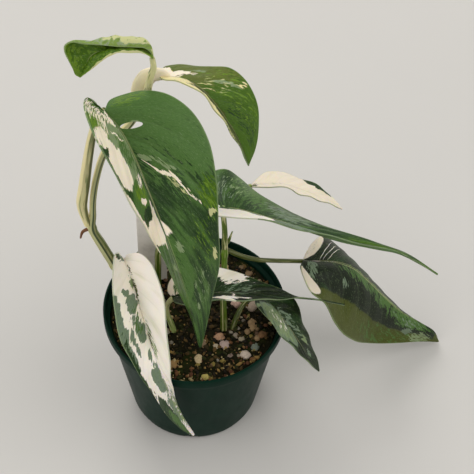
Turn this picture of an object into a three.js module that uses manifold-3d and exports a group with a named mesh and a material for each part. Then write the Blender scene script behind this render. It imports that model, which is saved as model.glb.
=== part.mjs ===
// A potted albo epipremnum pinnatum: a young variegated vine and its offshoots in a nursery pot.
// Millimetres, +Z up, -Y towards the viewer. The origin is the middle of the pot's underside.
import * as THREE from 'three';
import { mergeVertices } from 'three/addons/utils/BufferGeometryUtils.js';
import Module from 'manifold-3d';

const wasm = await Module();
wasm.setup();

// Driving dimensions
const gap = 0.3; // between pieces that touch
const pot = {
  height: 83,
  rimRadius: 52, // outside of the collar
  collarHeight: 6,
  bodyTopRadius: 49.5,
  baseRadius: 38.5, // where the round bottom corner meets the wall
  footRadius: 35.5,
  cornerHeight: 3.2,
  wall: 1.1,
  edge: 0.5, // of the rim's and the shoulder's rounded corners
  bend: 2.1, // how far the bottom corner has come out at a third of its height
  sides: 40,
};
const drain = { count: 8, width: 8, height: 3.2, depth: 12, inset: 2 };
const soil = { surface: 75, crown: 0.6, roughness: 0.9, lowest: 0.6, rings: [1, 0.8, 0.58, 0.3] };
const pebbles = {
  scattered: 26,
  small: 1.6,
  large: 2.8,
  ringRadius: 43,
  clearance: 6.5, // from the stalks and the label
  seed: 11,
  long: [0.85, 1.25], // shares of the half width
  wide: [0.75, 1.05],
  flat: 0.72,
  tilt: 0.5, // radians from end to end
  detailAbove: 2.9, // half width from which a pebble gets more faces
  sunk: 0.35, // share of the height below the surface
};
const tag = { width: 16, length: 124, thickness: 0.8, point: 9, tip: 1, sunk: 44, place: [-25.5, 23.6] };
const blade = { thickness: 0.7, rows: 18, ribDepth: 1.1, ribTaper: 0.7, ripple: 0.6, ripples: 4 };
const across = [0.2, 0.48, 0.77, 1]; // columns from the midrib to the margin
const stalkSides = 8;
const endShort = 0.9; // how far a stalk stops before the base line of its blade
const weld = 1e-4; // points nearer than this are one

// A blade is drawn by three lines: its midrib, and each margin from the sinus round the lobe to the
// tip. Left and right are as seen on the upper face with the tip pointing down. `fan` is how far the
// side veins spread from the base. `arch` is the bend of each half across its width, in degrees
// from base to tip, and is negative where the half curls upwards.
const leaves = {
  front_leaf: {
    midrib: [[-44, 8, 228], [-36.5, 2, 221.5], [-28.5, -8, 211.5], [-21, -19, 198], [-11.5, -31, 178],
      [-2.5, -38, 146.5], [5, -38, 97.5]],
    left: [[-45, 7.5, 229], [-47, 3.5, 237.5], [-50.5, 2, 242.5], [-51, -6.5, 246], [-46.5, -18, 243],
      [-39, -27.5, 231.5], [-30, -32.5, 211.5], [-20.5, -28, 178], [-9.5, -26.5, 141], [-1, -31.5, 118],
      [4.5, -38, 97.5]],
    right: [[-43, 9, 228.5], [-42, 14, 229], [-34.5, 17.5, 230.5], [-25, 19.5, 231.5], [-14, 19, 230],
      [-2, 14, 224], [6.5, 5, 214], [11, -7, 198.5], [13, -18, 177], [13.5, -24, 149.5], [10, -30.5, 126],
      [5.5, -38, 97.5]],
    fan: 1.8,
    arch: { left: [-10, -10], right: [40, 10] },
    rows: 24,
    color: 0x2f5a34,
  },
  new_leaf: {
    midrib: [[-21.5, 24, 249], [-22.5, 23.5, 252], [-24.5, 23, 253.5], [-29, 22, 254.5], [-34.5, 21, 255.5],
      [-40, 19, 257], [-45, 17, 258], [-49, 15.5, 256.5], [-51.5, 14.5, 252.5], [-53.5, 13.5, 248],
      [-55, 13, 245]],
    left: [[-21.5, 23.5, 249.5], [-22.5, 22.5, 254.5], [-25, 22, 257], [-29.5, 21, 258], [-34, 20, 259],
      [-39.5, 18, 261], [-45.5, 15.5, 263.5], [-52, 13.5, 266], [-57, 11.5, 268.5], [-60, 10.5, 267],
      [-60.5, 10.5, 263], [-59.5, 11, 258], [-58, 11.5, 252], [-57, 12.5, 247], [-55, 13.2, 245]],
    right: [[-21.5, 23.5, 248.5], [-22.5, 22, 252], [-25, 21, 254], [-28.5, 20, 255.5], [-34, 18.5, 256.5],
      [-38.5, 16.5, 257.5], [-42, 14.5, 257], [-45.5, 13, 254.5], [-49.5, 12, 251], [-52.5, 12, 248],
      [-54.8, 12.8, 245]],
    fan: 0.75,
    arch: {
      left: [-270, -285, -295, -290, -240, -150, -115, -80, -35, -12, -8],
      right: [100, 110, 100, 60, 30],
    },
    rows: 22,
    ripple: 0.2,
    color: 0x6f9a3c,
  },
  arched_leaf: {
    midrib: [[-18.5, 31, 231.5], [-13, 33, 228.5], [-6, 35, 225], [1, 36, 218.5], [7, 36, 210],
      [13.5, 34, 200.5], [20, 31, 190.5], [27, 26, 174]],
    left: [[-19, 29.5, 231.5], [-16, 27, 232], [-10, 26, 232.5], [-3.5, 26, 229.5], [3, 25.5, 224],
      [8.5, 24, 217], [14.5, 24, 205.5], [21, 24, 192], [27, 25.5, 174]],
    right: [[-19, 32.5, 231.5], [-17, 39.5, 229], [-11, 47.5, 223], [-3, 53, 218], [5.5, 58, 213],
      [15, 59, 211.5], [23.5, 56, 207], [30, 49.5, 195], [31.5, 42.5, 186], [30, 34, 178.5], [27, 26.5, 174]],
    fan: 1.1,
    arch: { left: [20, 10], right: [30, 20, 15] },
    color: 0x7f9455,
  },
  long_leaf: {
    midrib: [[14, 10, 158], [24.5, 12, 153.5], [37, 15, 145.5], [50, 18, 137], [63.5, 21, 127.5],
      [80, 24, 117], [98, 27, 108.5], [116, 30, 100], [129, 32, 89], [141, 33, 78.5]],
    left: [[13.5, 9, 158.5], [9, 3.5, 164], [6, -3.5, 169], [9.5, -6.5, 170.5], [19.5, -4.5, 167.5],
      [33, 2.5, 158], [47.5, 10, 145], [62, 16, 133.5], [77, 22, 122], [95, 26.5, 111.5],
      [113.5, 29.5, 102.5], [129, 31.5, 90], [141, 32.5, 78.5]],
    right: [[13.5, 11, 158], [8.5, 16.5, 156], [4.5, 26, 154.5], [6.5, 35, 156], [14, 39, 155.5],
      [22.5, 41, 147], [35.5, 41, 133], [50.5, 38.5, 123], [66, 33.5, 121], [83, 32, 114.5],
      [101, 33, 106], [118.5, 34.5, 96.5], [141, 33.5, 78.5]],
    fan: 1.7,
    arch: { left: [10, 5], right: [25, 5] },
    color: 0x4d6b55,
  },
  cream_leaf: {
    midrib: [[29.5, 50, 131], [37, 52, 130.5], [45.5, 54, 129], [55.5, 55, 124.5], [65.5, 56, 118.5],
      [74, 57, 112.5], [83, 58, 105]],
    left: [[29.5, 49, 131], [35.5, 45.5, 135], [43.5, 46, 135.5], [51.5, 46.5, 133], [58.5, 47.5, 127.5],
      [68, 50.5, 120.5], [76, 53.5, 113.5], [83, 57.5, 105]],
    right: [[29.5, 51, 130.5], [32.5, 57.5, 128.5], [37.5, 64, 127], [44, 67.5, 125], [51.5, 67, 122],
      [60, 67.5, 118.5], [68.5, 66, 115], [76.5, 63, 109.5], [83, 58.5, 104.5]],
    fan: 1.1,
    arch: { left: [10, 10], right: [20, 10] },
    rows: 14,
    color: 0xe6ddb8,
  },
  table_leaf: {
    midrib: [[61, 26.5, 94], [70.5, 27.5, 93], [81.5, 29.5, 90], [91, 31.5, 83], [101, 32, 71],
      [112, 32.5, 56], [125.5, 34, 38], [140, 37, 22.5], [148.5, 38, 14], [153.5, 39, 1.5]],
    left: [[61, 25.5, 94.5], [59, 18.5, 99.5], [60.5, 10, 101], [65, 1, 99], [72.5, -1, 93],
      [80, 0, 72.5], [88.5, 1.5, 57], [105.5, 20, 23.5], [127, 29, 13], [143.5, 35, 6.5], [153.5, 38.5, 1.5]],
    right: [[61, 27.5, 93.5], [63.5, 35.5, 92.5], [67.5, 44.5, 90], [72.5, 51, 87], [82, 55, 75],
      [92.5, 54, 54.5], [104, 53, 37], [116.5, 50, 25], [130.5, 46, 13.5], [142.5, 42.5, 7],
      [153.5, 39.5, 1.5]],
    fan: 1.5,
    arch: { left: [25, 10], right: [30, 50, 30] },
    color: 0x3c5a2c,
  },
  low_leaf: {
    midrib: [[-11.5, -10, 103], [-2, -11, 108], [11.5, -12, 112], [25, -12, 113], [37, -11, 112],
      [47, -10.5, 110], [55, -10, 108], [68, -9.5, 106], [83, -10, 103]],
    left: [[-11.5, -11, 103.5], [-10, -16, 107], [-3, -22, 113.5], [5, -24.5, 119], [14.5, -24, 121.5],
      [25.5, -22.5, 120.5], [36, -19.5, 117], [47, -15, 112.5], [56, -11, 109], [68, -10, 106.5],
      [83, -10.5, 103]],
    right: [[-12, -9, 103], [-14.5, -6, 104], [-14, -1.5, 106], [-10.5, 1.5, 109], [-1.5, 1.5, 113.5],
      [11, 1, 118], [23.5, -1, 116.5], [36, -3.5, 113], [47, -6, 109.5], [56, -8.5, 107], [68.5, -9, 105.5],
      [83, -9.5, 103]],
    fan: 1.4,
    arch: { left: [15, 5], right: [20, 5] },
    color: 0x466a4c,
  },
  rim_leaf: {
    midrib: [[35, 3.5, 89], [41.5, -1.5, 91], [47.5, -8.5, 90], [54, -14.5, 84], [60.5, -17.5, 74],
      [66, -18.5, 63], [73, -19, 50]],
    left: [[34.5, 2.5, 89.5], [34, -3, 91.5], [38, -11.5, 95.5], [43.5, -20, 96.5], [50.5, -23.5, 88],
      [58.5, -23.5, 76], [66.5, -22.5, 62.5], [72.5, -19.5, 50]],
    right: [[35.5, 4.5, 89], [40.5, 8.5, 88], [49, 9.5, 87.5], [56, 6, 86], [60, 0.5, 78.5], [64, -4, 69],
      [68, -8.5, 60], [71.5, -14.5, 54.5], [73, -18.5, 50]],
    fan: 1.2,
    arch: { left: [20, 10], right: [30, 10] },
    rows: 15,
    color: 0x4f7058,
  },
  white_leaf: {
    midrib: [[-41, 13, 106], [-36, 2.5, 106], [-30.5, -12.5, 103], [-24.5, -30, 100], [-18.5, -46, 97],
      [-12, -57, 86], [-5.5, -59, 65], [2, -54.5, 32]],
    left: [[-41.5, 12.5, 106.5], [-43, 12.5, 112.5], [-44.5, 8, 117], [-44, -7.5, 118], [-42, -26.5, 114.5],
      [-37, -43, 110], [-30, -50, 95], [-21, -54.5, 77], [-11, -56.5, 54], [-4, -56.5, 41], [1.5, -55, 32.5]],
    right: [[-40.5, 13.5, 107], [-37, 13, 111.5], [-31.5, 11, 115], [-23.5, 1.5, 117.5], [-17, -16.5, 118],
      [-12.8, -37, 115.5], [-10.8, -51, 103.5], [-9, -54, 76], [-4, -55.5, 54], [2.5, -54, 32.5]],
    fan: 1.4,
    arch: { left: [15, 20, 10], right: [15, 20, 10] },
    color: 0xe2d9cc,
  },
};

// The long slit that the front leaf has beside its midrib, cut along the surface
const slit = {
  middle: [-30.7, 3.6, 223.5],
  length: 11,
  width: 3.2,
  depth: 12,
  along: [1, 0.12, 0.15],
  through: [0.16, -0.62, 0.76],
};

// Stalks: the line they follow, the half width at points evenly spaced along it, and `facing`, the
// direction that the thickness of a flattened stalk points in
const stalks = {
  vine_stem: {
    line: [[-35, 20, 62], [-40, 20, 75], [-47, 20, 92], [-53.5, 20, 110.5], [-58, 20.5, 124], [-57, 21, 134],
      [-56, 22, 147], [-53.5, 24, 162], [-48.5, 27, 178.5], [-41.5, 29, 189], [-34.5, 30, 198],
      [-30.5, 30, 207.5], [-29, 30, 214]],
    radii: [2.9, 2.9, 2.8, 1.8, 1.9, 2, 2.1],
    steps: 26,
    color: 0xb5bd74,
  },
  front_petiole: {
    line: [[-60, 20, 127], [-62, 19.5, 143.5], [-59.5, 19, 161], [-56, 17, 183], [-52, 14, 204.5],
      [-48, 11, 219.5]],
    carries: 'front_leaf',
    radii: [2, 3.1, 2.9, 2.5, 2.1, 1.8],
    steps: 18,
    color: 0xa3ac66,
  },
  arched_petiole: {
    line: [[-29, 30, 214.4], [-29, 30, 220.5], [-27, 30, 227], [-23.5, 30, 232]],
    carries: 'arched_leaf',
    radii: [2.4, 4.2, 4.6, 4, 3],
    flatten: 0.5,
    steps: 12,
    color: 0xe7dcae,
  },
  new_petiole: {
    line: [[-26.5, 28.2, 214], [-25.3, 26.4, 221], [-24, 24.5, 229], [-22.5, 23, 237.5], [-21, 23.4, 243.5]],
    carries: 'new_leaf',
    radii: [1.6, 1.9, 1.8, 1.6, 1.2],
    steps: 14,
    color: 0xc8d08c,
  },
  offshoot_stem: {
    line: [[17.2, -10.5, 63], [17, -10, 74], [16.5, -8, 90], [16, -3, 104], [16, 4, 115], [16, 7, 127]],
    radii: [2.1, 2, 1.8, 1.8],
    steps: 14,
    color: 0xa5a35c,
  },
  long_petiole: {
    line: [[16, 7.1, 127.5], [15.7, 8.5, 140], [14.7, 9.7, 152]],
    carries: 'long_leaf',
    radii: [1.6, 1.5, 1.4],
    steps: 10,
    color: 0xb0ad60,
  },
  table_petiole: {
    line: [[16.2, 8, 125.5], [24.5, 7, 121.5], [33.5, 9.5, 115.5], [44, 15.5, 107.5]],
    carries: 'table_leaf',
    radii: [1.2, 1.3, 1.3, 1.2],
    steps: 14,
    color: 0x96a355,
  },
  rim_petiole: {
    line: [[21.5, -13, 64], [22, -9.5, 74], [24.5, -4.5, 82], [29, 1, 87.5]],
    carries: 'rim_leaf',
    radii: [1.7, 1.6, 1.4, 1.2],
    steps: 12,
    color: 0xa9a562,
  },
  low_petiole: {
    line: [[-9.5, -13.5, 64], [-11, -13, 74], [-13, -11.5, 82], [-15, -11, 90], [-14.5, -10.5, 98]],
    carries: 'low_leaf',
    radii: [1.8, 1.7, 1.5, 1.3],
    steps: 14,
    color: 0xb3b070,
  },
  white_petiole: {
    line: [[-26, 0, 62], [-28, 4, 73], [-31, 8, 88], [-36, 12, 99]],
    carries: 'white_leaf',
    radii: [1.9, 1.8, 1.6, 1.4],
    steps: 12,
    color: 0xc2c090,
  },
  cream_petiole: {
    line: [[-23, 19, 62], [-22.5, 19, 74], [-22, 19, 94], [-21.3, 19.5, 108.5],
      [-17.4, 20, 117], [-12.8, 24.5, 121.5], [-4.5, 36.5, 124.5], [13, 46, 128.5]],
    carries: 'cream_leaf',
    radii: [1.9, 1.9, 1.7, 1.4, 1.1],
    steps: 20,
    color: 0xa7a661,
  },
  aerial_root: {
    line: [[-59, 19.5, 124.5], [-63, 19, 122], [-64.5, 18, 117.5]],
    radii: [1.1, 0.9, 0.5],
    steps: 5,
    color: 0x6b3f22,
  },
};

// The papery spur left where the table leaf's sheath opened
const spur = {
  line: [[15.5, 8.5, 128], [17.5, 8.5, 131], [19.8, 9, 139.5]],
  radii: [1.2, 0.8, 0.35],
  steps: 5,
};

// Pebbles that stand out on the soil: x, y, and half width
const namedPebbles = [
  [14.5, -16, 3.6], [33, -6.5, 4.4], [18, -20.5, 3], [29.5, -27, 3.4], [35, -21.5, 2.6], [3.5, -31, 3.4],
  [-10.5, -35, 2.6], [8, -43, 3], [6, -20, 2.4], [24, -37.5, 1.8], [-2, -41, 2.2], [21, -28, 1.9],
];

const toVector = (p) => new THREE.Vector3(...p);
const spline = (points) => new THREE.CatmullRomCurve3(points.map(toVector));

// Value at t (0 to 1) of a list of values evenly spaced along a length
function along(values, t) {
  const place = t * (values.length - 1);
  const i = Math.min(Math.floor(place), values.length - 2);
  return THREE.MathUtils.lerp(values[i], values[i + 1], place - i);
}

// Solid between an upper and a lower grid of points with matching rows and columns
function gridSolid(upper, lower) {
  const rows = upper.length;
  const columns = upper[0].length;
  const positions = [];
  [...upper.flat(), ...lower.flat()].forEach((p) => positions.push(p.x, p.y, p.z));
  const index = [];
  const at = (i, j) => i * columns + j;
  const below = rows * columns;
  const quad = (a, b, c, d) => index.push(a, b, c, a, c, d);
  for (let i = 0; i < rows - 1; i += 1) {
    for (let j = 0; j < columns - 1; j += 1) {
      quad(at(i, j), at(i + 1, j), at(i + 1, j + 1), at(i, j + 1));
      index.push(below + at(i, j), below + at(i + 1, j + 1), below + at(i + 1, j));
      index.push(below + at(i, j), below + at(i, j + 1), below + at(i + 1, j + 1));
    }
  }
  const edge = (a, b) => quad(a, below + a, below + b, b);
  for (let i = 0; i < rows - 1; i += 1) {
    edge(at(i, 0), at(i + 1, 0));
    edge(at(i + 1, columns - 1), at(i, columns - 1));
  }
  for (let j = 0; j < columns - 1; j += 1) {
    edge(at(rows - 1, j), at(rows - 1, j + 1));
    edge(at(0, j + 1), at(0, j));
  }
  const geometry = new THREE.BufferGeometry();
  geometry.setAttribute('position', new THREE.Float32BufferAttribute(positions, 3));
  geometry.setIndex(index);
  return geometry;
}

// One half of a blade's row: points from the midrib out to the margin along a circular arc
function halfRow(base, tangent, margin, archDegrees, side) {
  const chord = margin.clone().sub(base);
  const width = chord.length();
  const outward = chord.clone().normalize();
  const up = tangent.clone().cross(outward).multiplyScalar(side).normalize();
  const arch = THREE.MathUtils.degToRad(archDegrees) || 1e-3;
  const radius = width / (2 * Math.sin(arch / 2));
  return across.map((u) => {
    const angle = arch * (u - 0.5);
    return base.clone()
      .addScaledVector(outward, width / 2 + radius * Math.sin(angle))
      .addScaledVector(up, radius * (Math.cos(angle) - Math.cos(arch / 2)));
  });
}

// Middle surface of a blade as rows of points from the left margin over the midrib to the right
function bladeRows(leaf) {
  const midrib = spline(leaf.midrib);
  const margins = { left: spline(leaf.left), right: spline(leaf.right) };
  const rows = leaf.rows || blade.rows;
  const ripple = leaf.ripple ?? blade.ripple;
  return Array.from({ length: rows + 1 }, (_, i) => {
    const t = i / rows;
    const s = t ** leaf.fan;
    const base = midrib.getPointAt(s);
    const tangent = midrib.getTangentAt(s);
    const left = halfRow(base, tangent, margins.left.getPointAt(t), along(leaf.arch.left, t), -1);
    const right = halfRow(base, tangent, margins.right.getPointAt(t), along(leaf.arch.right, t), 1);
    const row = [...left.reverse(), base, ...right];
    const lift = right[right.length - 1].clone().sub(left[0]).cross(tangent).normalize().negate();
    const wave = ripple * Math.sin(Math.PI * t) * Math.sin(2 * Math.PI * blade.ripples * t);
    row[0].addScaledVector(lift, wave);
    row[row.length - 1].addScaledVector(lift, -wave);
    return row;
  });
}

// Upward normal at a point of a grid
function gridNormal(rows, i, j) {
  const downRow = rows[Math.min(i + 1, rows.length - 1)][j].clone().sub(rows[Math.max(i - 1, 0)][j]);
  const cross = rows[i][Math.min(j + 1, rows[i].length - 1)].clone().sub(rows[i][Math.max(j - 1, 0)]);
  return downRow.cross(cross).normalize();
}

// A blade of even thickness with the midrib standing out below as a keel; `extra` grows it all round
function bladeGeometry(leaf, extra = 0) {
  const rows = bladeRows(leaf);
  rows.forEach((row) => {
    const last = row.length - 1;
    row[0].addScaledVector(row[0].clone().sub(row[1]).normalize(), extra);
    row[last].addScaledVector(row[last].clone().sub(row[last - 1]).normalize(), extra);
  });
  const half = blade.thickness / 2 + extra;
  const middle = across.length;
  const upper = [];
  const lower = [];
  rows.forEach((row, i) => {
    const rib = blade.ribDepth * (1 - i / (rows.length - 1)) ** blade.ribTaper;
    const normals = row.map((_, j) => gridNormal(rows, i, j));
    upper.push(row.map((p, j) => p.clone().addScaledVector(normals[j], half)));
    lower.push(row.map((p, j) => p.clone().addScaledVector(normals[j], j === middle ? -half - rib : -half)));
  });
  return gridSolid(upper, lower);
}

// The line of a stalk; one that carries a leaf stops just short of the leaf's base
function stalkLine(stalk) {
  const points = stalk.line.map(toVector);
  if (stalk.carries) {
    const base = toVector(leaves[stalk.carries].midrib[0]);
    const back = points[points.length - 1].clone().sub(base).normalize();
    points.push(base.addScaledVector(back, endShort));
  }
  return new THREE.CatmullRomCurve3(points);
}

// A stalk with its ends closed: a cylinder bent along a curved line
function stalkGeometry(stalk, extra = 0) {
  const line = stalkLine(stalk);
  const frames = line.computeFrenetFrames(stalk.steps, false);
  const tube = new THREE.CylinderGeometry(1, 1, stalk.steps, stalkSides, stalk.steps);
  const position = tube.attributes.position;
  for (let i = 0; i < position.count; i += 1) {
    const step = Math.round(position.getY(i) + stalk.steps / 2);
    const t = step / stalk.steps;
    const half = along(stalk.radii, t);
    const tangent = frames.tangents[step];
    const wide = stalk.flatten ? tangent.clone().cross(toVector([0, 1, 0])).normalize() : frames.normals[step];
    const deep = wide.clone().cross(tangent);
    const p = line.getPointAt(t)
      .addScaledVector(wide, position.getX(i) * (half + extra))
      .addScaledVector(deep, position.getZ(i) * (half * (stalk.flatten || 1) + extra));
    position.setXYZ(i, p.x, p.y, p.z);
  }
  return tube;
}

// Solids for cutting and joining
function solid(geometry) {
  const plain = geometry.clone();
  plain.deleteAttribute('normal');
  plain.deleteAttribute('uv');
  const merged = mergeVertices(plain, weld);
  return new wasm.Manifold(new wasm.Mesh({
    numProp: 3,
    vertProperties: new Float32Array(merged.attributes.position.array),
    triVerts: new Uint32Array(merged.index.array),
  }));
}

function geometryOf(manifold) {
  const mesh = manifold.getMesh();
  const geometry = new THREE.BufferGeometry();
  geometry.setAttribute('position', new THREE.Float32BufferAttribute(mesh.vertProperties, 3));
  geometry.setIndex(Array.from(mesh.triVerts));
  return geometry;
}

// Turned profile, standing along Z
function turned(profile, sides) {
  const points = profile.map(([r, z]) => new THREE.Vector2(r, z));
  return new THREE.LatheGeometry(points, sides).rotateX(Math.PI / 2);
}

// Outer radius of the pot's wall at a height
function wallRadius(z) {
  const top = pot.height - pot.collarHeight;
  const share = (z - pot.cornerHeight) / (top - pot.cornerHeight);
  return THREE.MathUtils.lerp(pot.baseRadius, pot.bodyTopRadius, share);
}

function potSolid() {
  const { height, rimRadius, collarHeight, wall, footRadius, cornerHeight, edge, bend } = pot;
  const shoulder = height - collarHeight;
  const bore = rimRadius - wall;
  const bendHeight = cornerHeight / 3;
  const shell = solid(turned([
    [0, 0], [footRadius, 0], [footRadius + bend, bendHeight], [wallRadius(cornerHeight), cornerHeight],
    [wallRadius(shoulder - edge), shoulder - edge], [rimRadius - edge, shoulder], [rimRadius, shoulder + edge],
    [rimRadius, height - edge], [rimRadius - edge, height], [bore, height], [bore, height - edge],
    [bore - edge, shoulder + wall], [wallRadius(shoulder) - wall, shoulder - edge],
    [wallRadius(cornerHeight + wall) - wall, cornerHeight + wall],
    [footRadius + bend - wall, bendHeight + wall], [footRadius - wall, wall], [0, wall],
  ], pot.sides));
  const notch = new THREE.BoxGeometry(drain.depth, drain.width, drain.height * 2);
  notch.translate(pot.footRadius + drain.depth / 2 - drain.inset, 0, 0);
  return Array.from({ length: drain.count }).reduce(
    (body, _, k) => body.subtract(solid(notch.clone().rotateZ((2 * Math.PI * k) / drain.count))),
    shell,
  );
}

// Steady random numbers, so that the same pebbles come out each time
function seeded(seed) {
  const prime = 2 ** 31 - 1;
  let state = seed;
  return () => {
    state = (state * 48271) % prime;
    return state / prime;
  };
}

function pebble(x, y, half, random) {
  const { long, wide, flat, tilt, sunk, detailAbove } = pebbles;
  const within = ([low, high]) => THREE.MathUtils.lerp(low, high, random());
  const lean = () => tilt * (random() - 0.5);
  const stone = new THREE.IcosahedronGeometry(half, half > detailAbove ? 1 : 0);
  stone.scale(within(long), within(wide), flat);
  stone.rotateX(lean()).rotateY(lean()).rotateZ(Math.PI * random());
  return stone.translate(x, y, soil.surface + half * flat * (1 - 2 * sunk));
}

// Potting mix: the filled inside of the pot with a rough, slightly domed top and half-buried pebbles
function soilSolid(rooted) {
  const random = seeded(pebbles.seed);
  const inside = (z) => wallRadius(z) - pot.wall - gap;
  const floor = pot.wall + gap;
  const edge = inside(soil.surface);
  const low = pot.cornerHeight + 2 * pot.wall;
  const body = turned([
    [0, floor], [pot.footRadius - pot.wall, floor],
    [pot.footRadius + pot.bend - pot.wall - 2 * gap, floor + pot.wall], [inside(low), low],
    ...soil.rings.map((share) => [edge * share, soil.surface]), [0, soil.surface],
  ], pot.sides);
  const merged = mergeVertices(body.deleteAttribute('normal').deleteAttribute('uv'), weld);
  const position = merged.attributes.position;
  for (let i = 0; i < position.count; i += 1) {
    const share = Math.hypot(position.getX(i), position.getY(i)) / edge;
    if (position.getZ(i) > soil.surface - weld && share < 1 - weld) {
      const dome = soil.crown * (1 - share ** 2);
      position.setZ(i, soil.surface + dome + soil.roughness * (random() - soil.lowest));
    }
  }
  let mix = solid(merged);
  namedPebbles.forEach(([x, y, half]) => {
    mix = mix.add(solid(pebble(x, y, half, random)));
  });
  const besideTag = [-1, 1].map((side) => [tag.place[0] + side * 0.375 * tag.width, tag.place[1]]);
  const kept = [...rooted.map((name) => stalks[name].line[1]), ...besideTag];
  let placed = 0;
  while (placed < pebbles.scattered) {
    const r = pebbles.ringRadius * Math.sqrt(random());
    const angle = 2 * Math.PI * random();
    const half = THREE.MathUtils.lerp(pebbles.small, pebbles.large, random() ** 2);
    const x = r * Math.cos(angle);
    const y = r * Math.sin(angle);
    if (kept.every((p) => Math.hypot(p[0] - x, p[1] - y) > pebbles.clearance)) {
      mix = mix.add(solid(pebble(x, y, half, random)));
      placed += 1;
    }
  }
  rooted.forEach((name) => {
    mix = mix.subtract(solid(stalkGeometry(stalks[name], gap)));
  });
  return mix.subtract(solid(tagGeometry(gap)));
}

// Blank plant label: a strip with a pointed foot, pushed into the mix
function tagGeometry(extra = 0) {
  const half = tag.width / 2 + extra;
  const outline = new THREE.Shape();
  outline.moveTo(-half, tag.length + extra);
  outline.lineTo(-half, tag.point);
  outline.lineTo(-tag.tip - extra, -extra);
  outline.lineTo(tag.tip + extra, -extra);
  outline.lineTo(half, tag.point);
  outline.lineTo(half, tag.length + extra);
  const depth = tag.thickness + 2 * extra;
  const strip = new THREE.ExtrudeGeometry(outline, { depth, bevelEnabled: false });
  strip.translate(0, 0, -depth / 2).rotateX(Math.PI / 2);
  return strip.translate(tag.place[0], tag.place[1], soil.surface - tag.sunk);
}

function slitSolid() {
  const outline = new THREE.Shape().absellipse(0, 0, slit.length / 2, slit.width / 2, 0, 2 * Math.PI);
  const bore = new THREE.ExtrudeGeometry(outline, { depth: slit.depth, bevelEnabled: false, curveSegments: 8 });
  bore.translate(0, 0, -slit.depth / 2);
  const z = toVector(slit.through).normalize();
  const x = toVector(slit.along).addScaledVector(z, -toVector(slit.along).dot(z)).normalize();
  bore.applyMatrix4(new THREE.Matrix4().makeBasis(x, z.clone().cross(x), z));
  return solid(bore.translate(...slit.middle));
}

// What each stalk ends against; it is cut back there, clear by the gap
const joins = {
  front_petiole: ['front_leaf', 'vine_stem'],
  arched_petiole: ['arched_leaf', 'vine_stem'],
  new_petiole: ['new_leaf', 'vine_stem', 'arched_petiole'],
  long_petiole: ['long_leaf', 'offshoot_stem'],
  table_petiole: ['table_leaf', 'offshoot_stem', 'long_petiole'],
  rim_petiole: ['rim_leaf'],
  low_petiole: ['low_leaf'],
  white_petiole: ['white_leaf'],
  cream_petiole: ['cream_leaf'],
  aerial_root: ['vine_stem'],
};
const rooted = ['vine_stem', 'offshoot_stem', 'rim_petiole', 'low_petiole', 'white_petiole', 'cream_petiole'];

const biggest = (manifold) => manifold.decompose().sort((a, b) => b.volume() - a.volume())[0];

function stalkSolid(name) {
  let body = solid(stalkGeometry(stalks[name]));
  (joins[name] || []).forEach((other) => {
    const room = leaves[other] ? bladeGeometry(leaves[other], gap) : stalkGeometry(stalks[other], gap);
    body = body.subtract(solid(room));
  });
  if (name === 'long_petiole') {
    body = body.add(solid(stalkGeometry(spur)).subtract(solid(stalkGeometry(stalks.offshoot_stem, gap))));
  }
  return biggest(body);
}

const plant = new THREE.Group();

function addMesh(name, geometry, color, roughness) {
  const shown = geometry.index ? geometry.toNonIndexed() : geometry;
  shown.computeVertexNormals();
  const mesh = new THREE.Mesh(shown, new THREE.MeshStandardMaterial({ color, roughness, metalness: 0 }));
  mesh.name = name;
  plant.add(mesh);
}

addMesh('pot', geometryOf(potSolid()), 0x14463c, 0.4);
addMesh('potting_mix', geometryOf(soilSolid(rooted)), 0x2a1f17, 0.95);
addMesh('plant_label', tagGeometry(), 0xb9b6bb, 0.5);
Object.entries(stalks).forEach(([name, stalk]) => {
  addMesh(name, geometryOf(stalkSolid(name)), stalk.color, 0.45);
});
Object.entries(leaves).forEach(([name, leaf]) => {
  const whole = solid(bladeGeometry(leaf));
  const cut = name === 'front_leaf' ? whole.subtract(slitSolid()) : whole;
  addMesh(name, geometryOf(cut), leaf.color, 0.4);
});

export default plant;
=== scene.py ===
# Potted albo epipremnum pinnatum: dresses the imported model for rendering
import bpy
import bmesh
import math
import random
import numpy as np
from mathutils import Matrix, Vector, noise


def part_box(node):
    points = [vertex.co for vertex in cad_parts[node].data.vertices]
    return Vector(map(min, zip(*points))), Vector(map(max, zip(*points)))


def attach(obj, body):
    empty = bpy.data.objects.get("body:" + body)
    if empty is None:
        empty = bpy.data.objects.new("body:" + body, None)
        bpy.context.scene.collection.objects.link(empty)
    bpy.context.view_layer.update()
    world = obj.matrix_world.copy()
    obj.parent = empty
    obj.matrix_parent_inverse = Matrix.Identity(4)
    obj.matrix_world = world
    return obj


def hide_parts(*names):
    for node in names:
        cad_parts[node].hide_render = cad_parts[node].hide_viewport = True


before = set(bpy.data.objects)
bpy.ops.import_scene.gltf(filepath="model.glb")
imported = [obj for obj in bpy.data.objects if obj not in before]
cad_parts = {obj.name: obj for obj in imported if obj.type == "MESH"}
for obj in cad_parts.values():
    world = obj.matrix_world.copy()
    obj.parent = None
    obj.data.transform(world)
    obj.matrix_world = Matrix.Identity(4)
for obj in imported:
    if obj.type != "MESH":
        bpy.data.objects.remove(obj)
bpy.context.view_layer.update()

bl_info = {
    "name": "Potted variegated vine",
    "version": (1, 0, 0),
    "blender": (4, 5, 0),
    "location": "View3D > Sidebar > Vine",
    "description": "Builds the leaves, stalks, pot and potting mix of a potted variegated vine",
    "category": "Add Mesh",
}

MM = 0.001

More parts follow.
